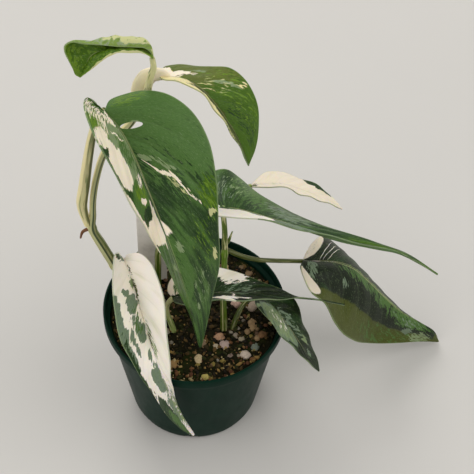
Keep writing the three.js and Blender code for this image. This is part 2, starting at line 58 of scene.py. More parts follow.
# Lines of each blade, in millimetres: the midrib, and each margin from the sinus round the lobe to the tip.
# Left and right are as seen on the upper face with the tip pointing down. "fan" is how far the side veins
# spread from the base. "arch" is the bend of each half across its width, in degrees from base to tip.
# "slope" is how far the side veins run towards the tip. "cells" are the grid's columns and rows. "roll" is
# how far the left half rises and falls, in millimetres. "fold" is a soft fold across the right half.
# "wander" is how far the edges of markings stray, as a share of the usual.
LEAVES = {
    "front_leaf": {
        "midrib": [(-44, 8, 228), (-36.5, 2, 221.5), (-28.5, -8, 211.5), (-21, -19, 198), (-11.5, -31, 178),
                   (-2.5, -38, 146.5), (5, -38, 97.5)],
        "left": [(-45, 7.5, 229), (-47, 3.5, 237.5), (-50.5, 2, 242.5), (-51, -6.5, 246), (-46.5, -18, 243),
                 (-39, -27.5, 231.5), (-30, -32.5, 211.5), (-20.5, -28, 178), (-9.5, -26.5, 141),
                 (-1, -31.5, 118), (4.5, -38, 97.5)],
        "right": [(-43, 9, 228.5), (-42, 14, 229), (-34.5, 17.5, 230.5), (-25, 19.5, 231.5), (-14, 19, 230),
                  (-2, 14, 224), (6.5, 5, 214), (11, -7, 198.5), (13, -18, 177), (13.5, -24, 149.5),
                  (10, -30.5, 126), (5.5, -38, 97.5)],
        "fan": 1.8, "arch": ((-10, -10), (40, 10)), "cells": (96, 170), "half_width": 34, "length": 168,
        "slope": 0.27, "fold": {"start": 0.27, "depth": 1.0, "width": 0.014},
    },
    "new_leaf": {
        "midrib": [(-21.5, 24, 249), (-22.5, 23.5, 252), (-24.5, 23, 253.5), (-29, 22, 254.5),
                   (-34.5, 21, 255.5), (-40, 19, 257), (-45, 17, 258), (-49, 15.5, 256.5),
                   (-51.5, 14.5, 252.5), (-53.5, 13.5, 248), (-55, 13, 245)],
        "left": [(-21.5, 23.5, 249.5), (-22.5, 22.5, 254.5), (-25, 22, 257), (-29.5, 21, 258),
                 (-34, 20, 259), (-39.5, 18, 261), (-45.5, 15.5, 263.5), (-52, 13.5, 266),
                 (-57, 11.5, 268.5), (-60, 10.5, 267), (-60.5, 10.5, 263), (-59.5, 11, 258),
                 (-58, 11.5, 252), (-57, 12.5, 247), (-55, 13.2, 245)],
        "right": [(-21.5, 23.5, 248.5), (-22.5, 22, 252), (-25, 21, 254), (-28.5, 20, 255.5),
                  (-34, 18.5, 256.5), (-38.5, 16.5, 257.5), (-42, 14.5, 257), (-45.5, 13, 254.5),
                  (-49.5, 12, 251), (-52.5, 12, 248), (-54.8, 12.8, 245)],
        "fan": 0.75, "arch": ((-270, -285, -295, -290, -240, -150, -115, -80, -35, -12, -8),
                              (100, 110, 100, 60, 30)),
        "ripple": 0.2, "cells": (64, 120), "half_width": 14, "length": 45,
        "slope": 0.1,
    },
    "arched_leaf": {
        "midrib": [(-18.5, 31, 231.5), (-13, 33, 228.5), (-6, 35, 225), (1, 36, 218.5), (7, 36, 210),
                   (13.5, 34, 200.5), (20, 31, 190.5), (27, 26, 174)],
        "left": [(-19, 29.5, 231.5), (-16, 27, 232), (-10, 26, 232.5), (-3.5, 26, 229.5), (3, 25.5, 224),
                 (8.5, 24, 217), (14.5, 24, 205.5), (21, 24, 192), (27, 25.5, 174)],
        "right": [(-19, 32.5, 231.5), (-17, 39.5, 229), (-11, 47.5, 223), (-3, 53, 218), (5.5, 58, 213),
                  (15, 59, 211.5), (23.5, 56, 207), (30, 49.5, 195), (31.5, 42.5, 186), (30, 34, 178.5),
                  (27, 26.5, 174)],
        "fan": 1.1, "arch": ((20, 10), (30, 20, 15)), "cells": (72, 120), "half_width": 19, "length": 82,
        "slope": 0.35,
    },
    "long_leaf": {
        "midrib": [(14, 10, 158), (24.5, 12, 153.5), (37, 15, 145.5), (50, 18, 137), (63.5, 21, 127.5),
                   (80, 24, 117), (98, 27, 108.5), (116, 30, 100), (129, 32, 89), (141, 33, 78.5)],
        "left": [(13.5, 9, 158.5), (9, 3.5, 164), (6, -3.5, 169), (9.5, -6.5, 170.5), (19.5, -4.5, 167.5),
                 (33, 2.5, 158), (47.5, 10, 145), (62, 16, 133.5), (77, 22, 122), (95, 26.5, 111.5),
                 (113.5, 29.5, 102.5), (129, 31.5, 90), (141, 32.5, 78.5)],
        "right": [(13.5, 11, 158), (8.5, 16.5, 156), (4.5, 26, 154.5), (6.5, 35, 156), (14, 39, 155.5),
                  (22.5, 41, 147), (35.5, 41, 133), (50.5, 38.5, 123), (66, 33.5, 121), (83, 32, 114.5),
                  (101, 33, 106), (118.5, 34.5, 96.5), (141, 33.5, 78.5)],
        "fan": 1.7, "arch": ((10, 5), (25, 5)), "cells": (64, 140), "half_width": 19, "length": 155,
        "slope": 0.2,
    },
    "cream_leaf": {
        "midrib": [(29.5, 50, 131), (37, 52, 130.5), (45.5, 54, 129), (55.5, 55, 124.5), (65.5, 56, 118.5),
                   (74, 57, 112.5), (83, 58, 105)],
        "left": [(29.5, 49, 131), (35.5, 45.5, 135), (43.5, 46, 135.5), (51.5, 46.5, 133),
                 (58.5, 47.5, 127.5), (68, 50.5, 120.5), (76, 53.5, 113.5), (83, 57.5, 105)],
        "right": [(29.5, 51, 130.5), (32.5, 57.5, 128.5), (37.5, 64, 127), (44, 67.5, 125), (51.5, 67, 122),
                  (60, 67.5, 118.5), (68.5, 66, 115), (76.5, 63, 109.5), (83, 58.5, 104.5)],
        "fan": 1.1, "arch": ((10, 10), (20, 10)), "cells": (56, 90), "half_width": 11, "length": 62,
        "slope": 0.2,
    },
    "table_leaf": {
        "midrib": [(61, 26.5, 94), (70.5, 27.5, 93), (81.5, 29.5, 90), (91, 31.5, 83), (101, 32, 71),
                   (112, 32.5, 56), (125.5, 34, 38), (140, 37, 22.5), (148.5, 38, 14), (153.5, 39, 1.5)],
        "left": [(61, 25.5, 94.5), (59, 18.5, 99.5), (60.5, 10, 101), (65, 1, 99), (72.5, -1, 93),
                 (80, 0, 72.5), (88.5, 1.5, 57), (105.5, 20, 23.5), (127, 29, 13), (143.5, 35, 6.5),
                 (153.5, 38.5, 1.5)],
        "right": [(61, 27.5, 93.5), (63.5, 35.5, 92.5), (67.5, 44.5, 90), (72.5, 51, 87), (82, 55, 75),
                  (92.5, 54, 54.5), (104, 53, 37), (116.5, 50, 25), (130.5, 46, 13.5), (142.5, 42.5, 7),
                  (153.5, 39.5, 1.5)],
        "fan": 1.5, "arch": ((25, 10), (30, 50, 30)), "cells": (80, 130), "half_width": 28, "length": 140,
        "slope": 0.2, "wander": 0.4, "roll": (2.6, 1.6),
    },
    "low_leaf": {
        "midrib": [(-11.5, -10, 103), (-2, -11, 108), (11.5, -12, 112), (25, -12, 113), (37, -11, 112),
                   (47, -10.5, 110), (55, -10, 108), (68, -9.5, 106), (83, -10, 103)],
        "left": [(-11.5, -11, 103.5), (-10, -16, 107), (-3, -22, 113.5), (5, -24.5, 119),
                 (14.5, -24, 121.5), (25.5, -22.5, 120.5), (36, -19.5, 117), (47, -15, 112.5),
                 (56, -11, 109), (68, -10, 106.5), (83, -10.5, 103)],
        "right": [(-12, -9, 103), (-14.5, -6, 104), (-14, -1.5, 106), (-10.5, 1.5, 109), (-1.5, 1.5, 113.5),
                  (11, 1, 118), (23.5, -1, 116.5), (36, -3.5, 113), (47, -6, 109.5), (56, -8.5, 107),
                  (68.5, -9, 105.5), (83, -9.5, 103)],
        "fan": 1.4, "arch": ((15, 5), (20, 5)), "cells": (56, 130), "half_width": 12, "length": 97,
        "slope": 0.15,
    },
    "rim_leaf": {
        "midrib": [(35, 3.5, 89), (41.5, -1.5, 91), (47.5, -8.5, 90), (54, -14.5, 84), (60.5, -17.5, 74),
                   (66, -18.5, 63), (73, -19, 50)],
        "left": [(34.5, 2.5, 89.5), (34, -3, 91.5), (38, -11.5, 95.5), (43.5, -20, 96.5), (50.5, -23.5, 88),
                 (58.5, -23.5, 76), (66.5, -22.5, 62.5), (72.5, -19.5, 50)],
        "right": [(35.5, 4.5, 89), (40.5, 8.5, 88), (49, 9.5, 87.5), (56, 6, 86), (60, 0.5, 78.5),
                  (64, -4, 69), (68, -8.5, 60), (71.5, -14.5, 54.5), (73, -18.5, 50)],
        "fan": 1.2, "arch": ((20, 10), (30, 10)), "cells": (56, 90), "half_width": 13, "length": 62,
        "slope": 0.25,
    },
    "white_leaf": {
        "midrib": [(-41, 13, 106), (-36, 2.5, 106), (-30.5, -12.5, 103), (-24.5, -30, 100),
                   (-18.5, -46, 97), (-12, -57, 86), (-5.5, -59, 65), (2, -54.5, 32)],
        "left": [(-41.5, 12.5, 106.5), (-43, 12.5, 112.5), (-44.5, 8, 117), (-44, -7.5, 118),
                 (-42, -26.5, 114.5), (-37, -43, 110), (-30, -50, 95), (-21, -54.5, 77), (-11, -56.5, 54),
                 (-4, -56.5, 41), (1.5, -55, 32.5)],
        "right": [(-40.5, 13.5, 107), (-37, 13, 111.5), (-31.5, 11, 115), (-23.5, 1.5, 117.5),
                  (-17, -16.5, 118), (-12.8, -37, 115.5), (-10.8, -51, 103.5), (-9, -54, 76),
                  (-4, -55.5, 54), (2.5, -54, 32.5)],
        "fan": 1.4, "arch": ((15, 20, 10), (15, 20, 10)), "cells": (72, 140), "half_width": 16,
        "length": 130,
        "slope": 0.15,
    },
}

# Markings of each blade, from the first painted to the last. Each has its tone, its middle, its half size,
# its slope and how speckled it is. Places run across from -1 at the left margin to 1 at the right, and along
# from 0 at the base to 1 at the tip. Slope and speckle are 0 where they are left off. A speckle of 0 is a
# whole patch, of 0.3 a patch with a ragged edge, of 0.6 half flecks, and of 0.75 a few flecks.
MARKINGS = {
    "front_leaf": [
        # The first mid patch, over the upper right half, is partly the blade's own tone and partly painted
        # sheen.
        ("mid", 0.7, 0.18, 0.95, 0.25, 0, 0.22), ("mid", -0.45, 0.74, 0.8, 0.13),
        ("dark", -0.45, 0.74, 0.8, 0.13, 0, 0.64), ("lime", 0.66, 0.09, 0.5, 0.07, 0, 0.62),
        # The dark streak at 0.36 across lies along the fold: painted shade in the crease.
        ("dark", 0.36, 0.335, 0.34, 0.022, 0.34, 0.7), ("sage", 0.18, 0.232, 0.12, 0.018),
        ("mid", -0.5, 0.17, 0.6, 0.12), ("lime", -0.65, 0.18, 0.4, 0.08, 0, 0.44),
        ("cream", -0.8, 0.12, 0.3, 0.055, 0, 0.6), ("cream", -0.11, 0.13, 0.07, 0.1, 0, 0.28),
        ("cream", -0.42, 0.16, 0.4, 0.09, 0, 0.57), ("cream", -0.78, 0.215, 0.28, 0.022, -0.03, 0.27),
        ("sage", -0.26, 0.31, 0.26, 0.125), ("mid", -0.2, 0.33, 0.2, 0.1, 0, 0.5),
        ("cream", -0.22, 0.25, 0.12, 0.006, 0.3), ("cream", -0.66, 0.32, 0.31, 0.095, 0.08),
        ("dark", -0.86, 0.262, 0.12, 0.011), ("cream", -0.5, 0.593, 0.6, 0.048, 0.035),
        ("cream", -0.2, 0.565, 0.13, 0.1), ("cream", -0.99, 0.5, 0.08, 0.15),
        ("mid", -0.5, 0.478, 0.44, 0.072, 0.015), ("lime", -0.42, 0.46, 0.34, 0.05, 0.05, 0.5),
        ("dark", -0.55, 0.525, 0.3, 0.022, 0.02), ("cream", -0.42, 0.486, 0.14, 0.012, 0.1),
        ("cream", -0.22, 0.435, 0.16, 0.03, 0, 0.58), ("sage", -0.25, 0.728, 0.14, 0.01, 0, 0.27),
        ("sage", 0.12, 0.375, 0.07, 0.012, 0.1), ("sage", 0.34, 0.4, 0.18, 0.02, 0.2, 0.56),
        ("cream", 0.15, 0.405, 0.1, 0.005, 0.2, 0.3), ("cream", 0.3, 0.428, 0.09, 0.007, 0.14, 0.3),
        ("cream", 0.44, 0.447, 0.09, 0.012, 0.24, 0.36), ("cream", 0.55, 0.474, 0.08, 0.009, 0.26, 0.42),
        ("cream", 0.65, 0.5, 0.08, 0.008, 0.26, 0.52), ("pale", 0.44, 0.468, 0.24, 0.02, 0.24, 0.7),
        ("fresh", 0.9, 0.49, 0.24, 0.075, 0, 0.52), ("lime", 0.88, 0.5, 0.22, 0.075, 0, 0.68),
        ("fresh", 0.72, 0.62, 0.32, 0.1, 0, 0.7), ("lime", 0.64, 0.64, 0.4, 0.12, 0, 0.8),
        ("pale", 0.9, 0.535, 0.06, 0.008, 0, 0.22), ("pale", 0.88, 0.665, 0.07, 0.024, 0, 0.44),
        ("sage", 0.2, 0.665, 0.09, 0.018, 0.12, 0.42), ("sage", 0.38, 0.85, 0.07, 0.014, 0, 0.34),
        ("sage", 0.55, 0.78, 0.4, 0.12, 0, 0.76),
    ],
    "white_leaf": [
        ("white", 0, 0.45, 2, 0.9), ("dark", -0.78, 0.085, 0.22, 0.03, 0, 0.42),
        ("dark", -0.3, 0.055, 0.14, 0.018, 0, 0.38), ("silver", -0.45, 0.065, 0.35, 0.03, 0, 0.44),
        ("olive", 0.1, 0.13, 0.035, 0.045, 0, 0.32), ("sage", -0.12, 0.225, 0.11, 0.035, 0, 0.36),
        ("silver", -0.48, 0.272, 0.1, 0.018), ("silver", -0.34, 0.325, 0.25, 0.046),
        ("silver", -0.25, 0.45, 0.17, 0.05), ("silver", -0.62, 0.452, 0.08, 0.036),
        ("silver", -0.56, 0.51, 0.08, 0.03), ("silver", -0.44, 0.395, 0.14, 0.03, 0, 0.36),
        ("mid", -0.3, 0.4, 0.3, 0.1, 0, 0.64), ("silver", -0.97, 0.46, 0.2, 0.2),
        ("dark", -1, 0.58, 0.19, 0.16, 0, 0.4), ("olive", 0, 0.28, 0.07, 0.09, 0, 0.42),
        ("sage", 0.18, 0.5, 0.22, 0.1, 0.16, 0.54), ("olive", 0.1, 0.5, 0.12, 0.09, 0.16, 0.56),
        ("silver", -0.16, 0.56, 0.09, 0.024, 0, 0.27), ("silver", -0.24, 0.65, 0.2, 0.05),
        ("silver", -0.08, 0.66, 0.08, 0.09, 0, 0.34), ("dark", -0.68, 0.86, 0.42, 0.15),
        ("mid", -0.55, 0.88, 0.34, 0.1, 0, 0.38), ("silver", -0.14, 0.8, 0.16, 0.09, 0, 0.3),
        ("sage", 0.35, 0.82, 0.6, 0.14, 0, 0.42),
    ],
    "table_leaf": [
        # The deep patch over the near half is painted shadow, cast by the far half and the fold.
        ("deep", -0.3, 0.45, 0.34, 0.55), ("mid", -0.06, 0.58, 0.16, 0.4, 0, 0.52),
        # The olive patch below it is painted light shining through the blade from behind.
        ("olive", -0.92, 0.62, 0.44, 0.48), ("mid", -0.75, 0.72, 0.36, 0.3, 0, 0.7),
        ("sage", -0.7, 0.9, 0.5, 0.06, 0, 0.56), ("ivory", -0.84, 0.125, 0.2, 0.07, 0.03),
        ("silver", -0.4, 0.13, 0.34, 0.05, 0, 0.56), ("silver", -0.34, 0.335, 0.1, 0.035, 0, 0.6),
        ("silver", -0.45, 0.82, 0.16, 0.025, 0, 0.36), ("mid", -0.14, 0.8, 0.2, 0.14, 0, 0.44),
        ("silver", -0.14, 0.8, 0.18, 0.14, 0, 0.72), ("ivory", 0.7, 0.095, 0.48, 0.092, 0.04),
        ("silver", 0.66, 0.1, 0.4, 0.08, 0.04, 0.82), ("deep", 0.5, 0.215, 0.42, 0.008, 0.1),
        ("white", 0.4, 0.207, 0.34, 0.0022, 0.12), ("white", 0.34, 0.232, 0.3, 0.002, 0.14),
        ("white", 0.28, 0.256, 0.24, 0.0018, 0.16), ("silver", 0.75, 0.6, 0.35, 0.3, 0.1, 0.6),
        ("olive", 0, 0.985, 0.9, 0.035),
    ],
    "long_leaf": [
        ("silver", 0.55, 0.16, 0.5, 0.1, 0, 0.7), ("mid", 0.6, 0.3, 0.5, 0.14, 0, 0.52),
        ("sage", 0.6, 0.22, 0.4, 0.14, 0, 0.75), ("white", -0.62, 0.2, 0.58, 0.165, 0.1),
        ("silver", -0.18, 0.295, 0.14, 0.035, 0, 0.34), ("silver", 0.5, 0.46, 0.5, 0.12, 0, 0.54),
        ("silver", -0.5, 0.46, 0.5, 0.09, 0, 0.34), ("mid", -0.4, 0.75, 0.6, 0.22, 0, 0.54),
        ("fresh", 0.4, 0.78, 0.5, 0.14, 0, 0.52), ("fresh", 0, 0.96, 0.9, 0.06, 0, 0.32),
    ],
    "low_leaf": [
        ("cream", 0.75, 0.12, 0.6, 0.12), ("sage", 0.55, 0.13, 0.34, 0.06, 0.1, 0.48),
        ("dark", 0.4, 0.09, 0.4, 0.008, 0.12), ("dark", 0.6, 0.155, 0.45, 0.01, 0.14),
        ("white", 0.92, 0.38, 0.26, 0.1, 0.05), ("white", 0.7, 0.45, 0.26, 0.09, 0.1, 0.48),
        ("white", -0.8, 0.4, 0.16, 0.1, 0, 0.3), ("cream", -0.35, 0.45, 0.3, 0.005, 0.06),
        ("silver", 0, 0.5, 0.8, 0.14, 0, 0.66),
    ],
    "arched_leaf": [
        # The fresh green over the right half is partly the blade's own green and partly painted light
        # shining through it from behind.
        ("fresh", 0.5, 0.6, 0.9, 0.5), ("moss", 0.45, 0.26, 0.66, 0.22, 0.3, 0.3),
        ("dark", 0.5, 0.72, 0.5, 0.24, 0.3, 0.64), ("lime", 0.6, 0.55, 0.55, 0.4, 0.3, 0.7),
        ("olive", -0.5, 0.55, 0.55, 0.5), ("dark", -0.5, 0.6, 0.5, 0.4, 0, 0.64),
        ("butter", -1, 0.3, 0.24, 0.34, 0, 0.27), ("butter", 0, 0.02, 1.6, 0.1),
        ("cream", 0.5, 0.02, 0.9, 0.09), ("cream", 0.2, 0.14, 0.28, 0.075, 0.25),
        ("cream", 0.3, 0.225, 0.16, 0.012, 0.45), ("butter", -0.45, 0.14, 0.5, 0.1, 0, 0.32),
        ("moss", 0.94, 0.17, 0.22, 0.12), ("moss", 0.2, 0.27, 0.16, 0.09, 0.5, 0.36),
        ("butter", 0.16, 0.345, 0.1, 0.006, 0.5), ("butter", 0.14, 0.4, 0.11, 0.005, 0.5),
        ("sage", 0.64, 0.31, 0.1, 0.022, 0.45, 0.3), ("sage", 0.58, 0.48, 0.17, 0.026, 0.45, 0.3),
        ("butter", 0.8, 0.57, 0.08, 0.006, 0.45), ("pale", 0.45, 0.42, 0.35, 0.16, 0.3, 0.74),
    ],
    "new_leaf": [
        # The lime ground is partly the young blade's own green and partly painted light shining through it.
        ("lime", 0, 0.5, 2, 0.9), ("fresh", 0.1, 0.6, 1.2, 0.5, 0, 0.52),
        ("sage", -0.66, 0.3, 0.34, 0.34, 0, 0.5), ("pale", -0.62, 0.22, 0.28, 0.26, 0, 0.46),
        ("pale", 0.94, 0.45, 0.1, 0.5), ("pale", 0.06, 0.2, 0.07, 0.14),
    ],
    "cream_leaf": [
        ("ivory", 0, 0.45, 2, 0.9), ("dark", 0.88, 0.72, 0.26, 0.145),
        ("olive", -0.3, 0.03, 0.6, 0.04, 0, 0.32), ("sage", -0.2, 0.25, 0.3, 0.08, 0, 0.74),
    ],
    "rim_leaf": [
        ("silver", -0.5, 0.36, 0.5, 0.26), ("sage", -0.48, 0.36, 0.42, 0.23, 0, 0.36),
        ("white", -0.42, 0.36, 0.34, 0.2, 0, 0.7), ("sage", -0.8, 0.12, 0.1, 0.03, 0, 0.32),
        ("sage", 0.42, 0.66, 0.14, 0.035, 0.45, 0.27), ("silver", 0.25, 0.8, 0.14, 0.05, 0, 0.34),
        ("silver", 0.2, 0.45, 0.3, 0.2, 0.4, 0.58),
    ],
}

# The routes of the stalks in millimetres, their half widths at evenly spaced places, and their colours from
# the lower end to the upper. A band has its middle and half width round the stalk, as shares of a turn.
STALKS = {
    "vine_stem": {
        "line": [(-35, 20, 62), (-40, 20, 75), (-47, 20, 92), (-53.5, 20, 110.5), (-58, 20.5, 124),
                 (-57, 21, 134), (-56, 22, 147), (-53.5, 24, 162), (-48.5, 27, 178.5), (-41.5, 29, 189),
                 (-34.5, 30, 198), (-30.5, 30, 207.5), (-29, 30, 214)],
        "radii": (2.9, 2.9, 2.8, 1.8, 1.9, 2, 2.1), "tones": ("olive", "pale"), "joints": (0.2, 0.405),
        # The dark band runs along the stem's groove: painted shade.
        "bands": ((0.44, 0.08, "butter"), (0.28, 0.05, "pale"), (0.19, 0.035, "dark")),
    },
    "front_petiole": {
        "line": [(-60, 20, 127), (-62, 19.5, 143.5), (-59.5, 19, 161), (-56, 17, 183), (-52, 14, 204.5),
                 (-48, 11, 219.5)],
        "carries": "front_leaf", "radii": (2, 3.1, 2.9, 2.5, 2.1, 1.8), "tones": ("butter", "olive"),
        "bands": ((0.40, 0.09, "butter"), (0.10, 0.05, "olive")),
    },
    "arched_petiole": {
        "line": [(-29, 30, 213), (-29, 30, 220.5), (-27, 30, 227), (-23.5, 30, 232)],
        "carries": "arched_leaf", "radii": (2.4, 4.2, 4.8, 4.8, 4.2, 1.0), "tones": ("butter", "cream"),
        "streaks": 0.08, "flatten": 0.45, "beyond": [(-13.5, 32.5, 227.6)],
    },
    "new_petiole": {
        "line": [(-26.5, 28.2, 214), (-25.3, 26.4, 221), (-24, 24.5, 229), (-22.5, 23, 237.5),
                 (-21, 23.4, 243.5)],
        "carries": "new_leaf", "radii": (1.9, 2.1, 1.9, 1.7, 1.2), "tones": ("butter", "pale"),
    },
    "offshoot_stem": {
        "line": [(17.2, -10.5, 63), (17, -10, 74), (16.5, -8, 90), (16, -3, 104), (16, 4, 115),
                 (16, 7, 127)],
        "radii": (2.1, 1.9, 1.6, 1.6), "tones": ("olive", "lime"), "joints": (0.95,),
    },
    "long_petiole": {
        "line": [(16, 7.1, 126), (15.7, 8.5, 140), (14.7, 9.7, 152)],
        "carries": "long_leaf", "radii": (1.7, 1.5, 1.4), "tones": ("olive", "lime"),
    },
    "table_petiole": {
        "line": [(16.2, 8, 125.5), (24.5, 7, 121.5), (33.5, 9.5, 115.5), (44, 15.5, 107.5)],
        "carries": "table_leaf", "radii": (1.4, 1.3, 1.3, 1.2), "tones": ("olive", "olive"), "streaks": 0.2,
    },
    "rim_petiole": {
        "line": [(21.5, -13, 64), (22, -9.5, 74), (24.5, -4.5, 82), (29, 1, 87.5)],
        "carries": "rim_leaf", "radii": (1.7, 1.6, 1.4, 1.2), "tones": ("olive", "olive"), "streaks": 0.4,
    },
    "low_petiole": {
        "line": [(-9.5, -13.5, 64), (-11, -13, 74), (-13, -11.5, 82), (-15, -11, 90), (-14.5, -10.5, 98)],
        "carries": "low_leaf", "radii": (1.8, 1.7, 1.5, 1.3), "tones": ("lime", "pale"),
    },
    "white_petiole": {
        "line": [(-26, 0, 62), (-28, 4, 73), (-31, 8, 88), (-36, 12, 99)],
        "carries": "white_leaf", "radii": (1.9, 1.8, 1.6, 1.4), "tones": ("lime", "cream"),
    },
    "cream_petiole": {
        "line": [(-23, 19, 62), (-22.5, 19, 74), (-22, 19, 94), (-21.3, 19.5, 108.5), (-17.4, 20, 117),
                 (-12.8, 24.5, 121.5), (-4.5, 36.5, 124.5), (13, 46, 128.5)],
        "carries": "cream_leaf", "radii": (1.9, 1.9, 1.7, 1.4, 1.1), "tones": ("olive", "lime"),
    },
    "aerial_root": {
        "line": [(-59, 19.5, 124.5), (-63, 19, 122), (-64.5, 18, 117.5)],
        "radii": (1.1, 0.9, 0.5), "tones": ("bark", "bark"), "streaks": 0.0,
    },
}
SPUR = {"line": [(15.5, 8.5, 128), (17.5, 8.5, 131), (19.8, 9, 139.5)], "radii": (1.2, 0.8, 0.3)}

# Pebbles that stand out in the photograph: place, half width in millimetres, and colour
PEBBLES = [
    (14.5, -16, 3.4, "B08A6C"), (33, -6.5, 3.7, "A08460"), (18, -20.5, 3.1, "B49E94"),
    (29.5, -27, 3.2, "C4B4A4"), (35, -21.5, 2.4, "6C7668"), (3.5, -31, 2.6, "C4B088"),
    (-10.5, -35, 2.8, "94764A"), (8, -43, 2.3, "B8A860"), (6, -20, 2.4, "7C6850"), (24, -14, 2.0, "8C8070"),
    (-14.5, -33, 2.4, "A8945A"), (21, -28, 1.7, "7C6C60"), (39, -13, 3.0, "7A5A3C"), (24, 8, 4.0, "C0A090"),
    (33, 7, 3.4, "A89684"), (-16, -14, 2.8, "8A8270"), (30, 30, 2.6, "7C664C"), (36, 25, 2.2, "8A7860"),
    (26, 34, 2.3, "6C5A40"),
]
# Tones of the small stones, of the crumbs of bark and peat, and of the grit among them
PEBBLE_COLOURS = ("A08460", "7C7264", "B0A288", "86683E", "8E8676", "6C5440", "A88E5C")
BARK_COLOURS = ("16140A", "241F10", "302812", "4A3A1E", "100F08", "5E4A28", "262C0C")
GRIT_COLOURS = ("8E7240", "704E30", "A8966A", "5A3A26", "80703A")

# Each tone on the upper face of a blade, and on its underside
TONES = {
    "deep": ("121E0B", "34442A"),
    "dark": ("1F3A16", "3E5634"),
    "mid": ("4A6C30", "5C784A"),
    "lime": ("66861E", "7A9244"),
    "olive": ("474F12", "5E6626"),
    "moss": ("5E6A28", "707A40"),
    "fresh": ("44660A", "5C7C14"),
    "sage": ("82946A", "8C9C76"),
    "silver": ("6E8068", "7C8C74"),
    "pale": ("C2C28C", "BEC08A"),
    "butter": ("E8DCA6", "DCD09A"),
    "cream": ("F5E9D5", "E4DCC8"),
    "ivory": ("E4D9C6", "D6CCB8"),
    "white": ("F4EDE2", "E8E2D4"),
    "bark": ("6B4426", "6B4426"),
}
# The tone under each blade's markings, and the tone it is mottled with
GROUNDS = {"front_leaf": ("dark", "mid"), "table_leaf": ("deep", "dark"), "long_leaf": ("dark", "mid"),
           "low_leaf": ("deep", "dark"), "rim_leaf": ("deep", "dark")}
PLAIN_GROUND = ("mid", "mid")

SIDE_VEINS = 9
DOUBLES = 1e-6  # corners closer than this many metres are one
MIX_EDGE = 0.0478  # radius of the mix at its surface
SEED_STEP = 3.7  # sets the noise of one leaf or stalk apart from the next

# Lights: place, size and colour. They point at one place low in the plant.
LAMPS = {
    "window": ((-0.35, 0.95, 1.30), 0.8, (1.0, 0.98, 0.95)),
    "left": ((-0.95, -0.75, 0.95), 1.4, (1.0, 0.98, 0.96)),
    "right": ((1.05, -0.15, 1.15), 1.4, (1.0, 0.98, 0.96)),
}
LAMP_AIM = Vector((0.02, 0, 0.1))
ROOM_COLOUR = (1.0, 0.99, 0.97, 1)

# The photograph's camera: its place, its tilt down and its roll in degrees, and its focal length in pixels
# of a frame whose width is given
CAMERA_PLACE = (0.0224, -0.419, 0.6579)
CAMERA_TILT, CAMERA_ROLL = 50.7, 2.3
FOCAL_PIXELS, FRAME_PIXELS = 1250, 474
SENSOR_WIDTH = 36


def linear(code):
    """Scene colour for a written colour such as 2F5A34."""
    values = [int(code[i:i + 2], 16) / 255 for i in (0, 2, 4)]
    return tuple(((v + 0.055) / 1.055) ** 2.4 if v > 0.04045 else v / 12.92 for v in values) + (1.0,)


class Route:
    """A smooth line through points, read by the share of its length."""

    def __init__(self, points, steps=24):
        before, beyond = 2 * np.array(points[0]) - points[1], 2 * np.array(points[-1]) - points[-2]
        p = np.array([before, *points, beyond], float)
        samples = []
        for a, b, c, d in zip(p, p[1:], p[2:], p[3:]):
            k0, k1, k2 = (max(np.linalg.norm(y - x), 1e-4) ** 0.5 for x, y in ((a, b), (b, c), (c, d)))
            t1 = ((b - a) / k0 - (c - a) / (k0 + k1) + (c - b) / k1) * k1
            t2 = ((c - b) / k1 - (d - b) / (k1 + k2) + (d - c) / k2) * k1
            s = np.linspace(0, 1, steps, endpoint=False)[:, None]
            square, cube = 3 * (c - b) - 2 * t1 - t2, 2 * (b - c) + t1 + t2
            samples.append(b + t1 * s + square * s ** 2 + cube * s ** 3)
        self.samples = np.vstack([*samples, p[-2:-1]])
        lengths = np.linalg.norm(np.diff(self.samples, axis=0), axis=1)
        self.reached = np.concatenate([[0], np.cumsum(lengths)])
        directions = np.gradient(self.samples, axis=0)
        self.directions = directions / np.linalg.norm(directions, axis=1, keepdims=True)

    def read(self, table, share):
        place = np.asarray(share, float) * self.reached[-1]
        return np.stack([np.interp(place, self.reached, table[:, k]) for k in range(3)], -1)

    def at(self, share):
        return self.read(self.samples, share)

    def direction(self, share):
        found = self.read(self.directions, share)
        return found / np.linalg.norm(found, axis=-1, keepdims=True)


def spread(values, share):
    """Values evenly spaced along a length, read at a share of it."""
    return np.interp(share, np.linspace(0, 1, len(values)), values)


def unit(vectors):
    return vectors / np.linalg.norm(vectors, axis=-1, keepdims=True)


def blade_points(leaf, across, along):
    """Points of a blade's middle surface in millimetres, and its upward directions there. across runs from
    -1 at the left margin to 1 at the right, and along from 0 at the base to 1 at the tip."""
    midrib, left, right = (Route(leaf[key]) for key in ("midrib", "left", "right"))
    share = along ** leaf["fan"]
    base, tangent = midrib.at(share), midrib.direction(share)
    margin = np.where(across[:, None] < 0, left.at(along), right.at(along))
    side = np.where(across < 0, -1.0, 1.0)
    chord = margin - base
    width = np.maximum(np.linalg.norm(chord, axis=1), 1e-6)
    outward = chord / width[:, None]
    up = unit(np.cross(tangent, outward) * side[:, None])
    bend = np.radians(np.where(across < 0, spread(leaf["arch"][0], along), spread(leaf["arch"][1], along)))
    radius = width / (2 * np.sin(bend / 2))
    angle = bend * (np.abs(across) - 0.5)
    points = base + outward * (width / 2 + radius * np.sin(angle))[:, None]
    points += up * (radius * (np.cos(angle) - np.cos(bend / 2)))[:, None]
    return points, up


# Mesh helpers
def clear_selection():
    if bpy.context.mode != "OBJECT":
        bpy.ops.object.mode_set(mode="OBJECT")
    bpy.ops.object.select_all(action="DESELECT")


def only(piece):
    clear_selection()
    piece.select_set(True)
    bpy.context.view_layer.objects.active = piece


def named(piece, name):
    piece.name = name
    piece.data.name = name
    return piece


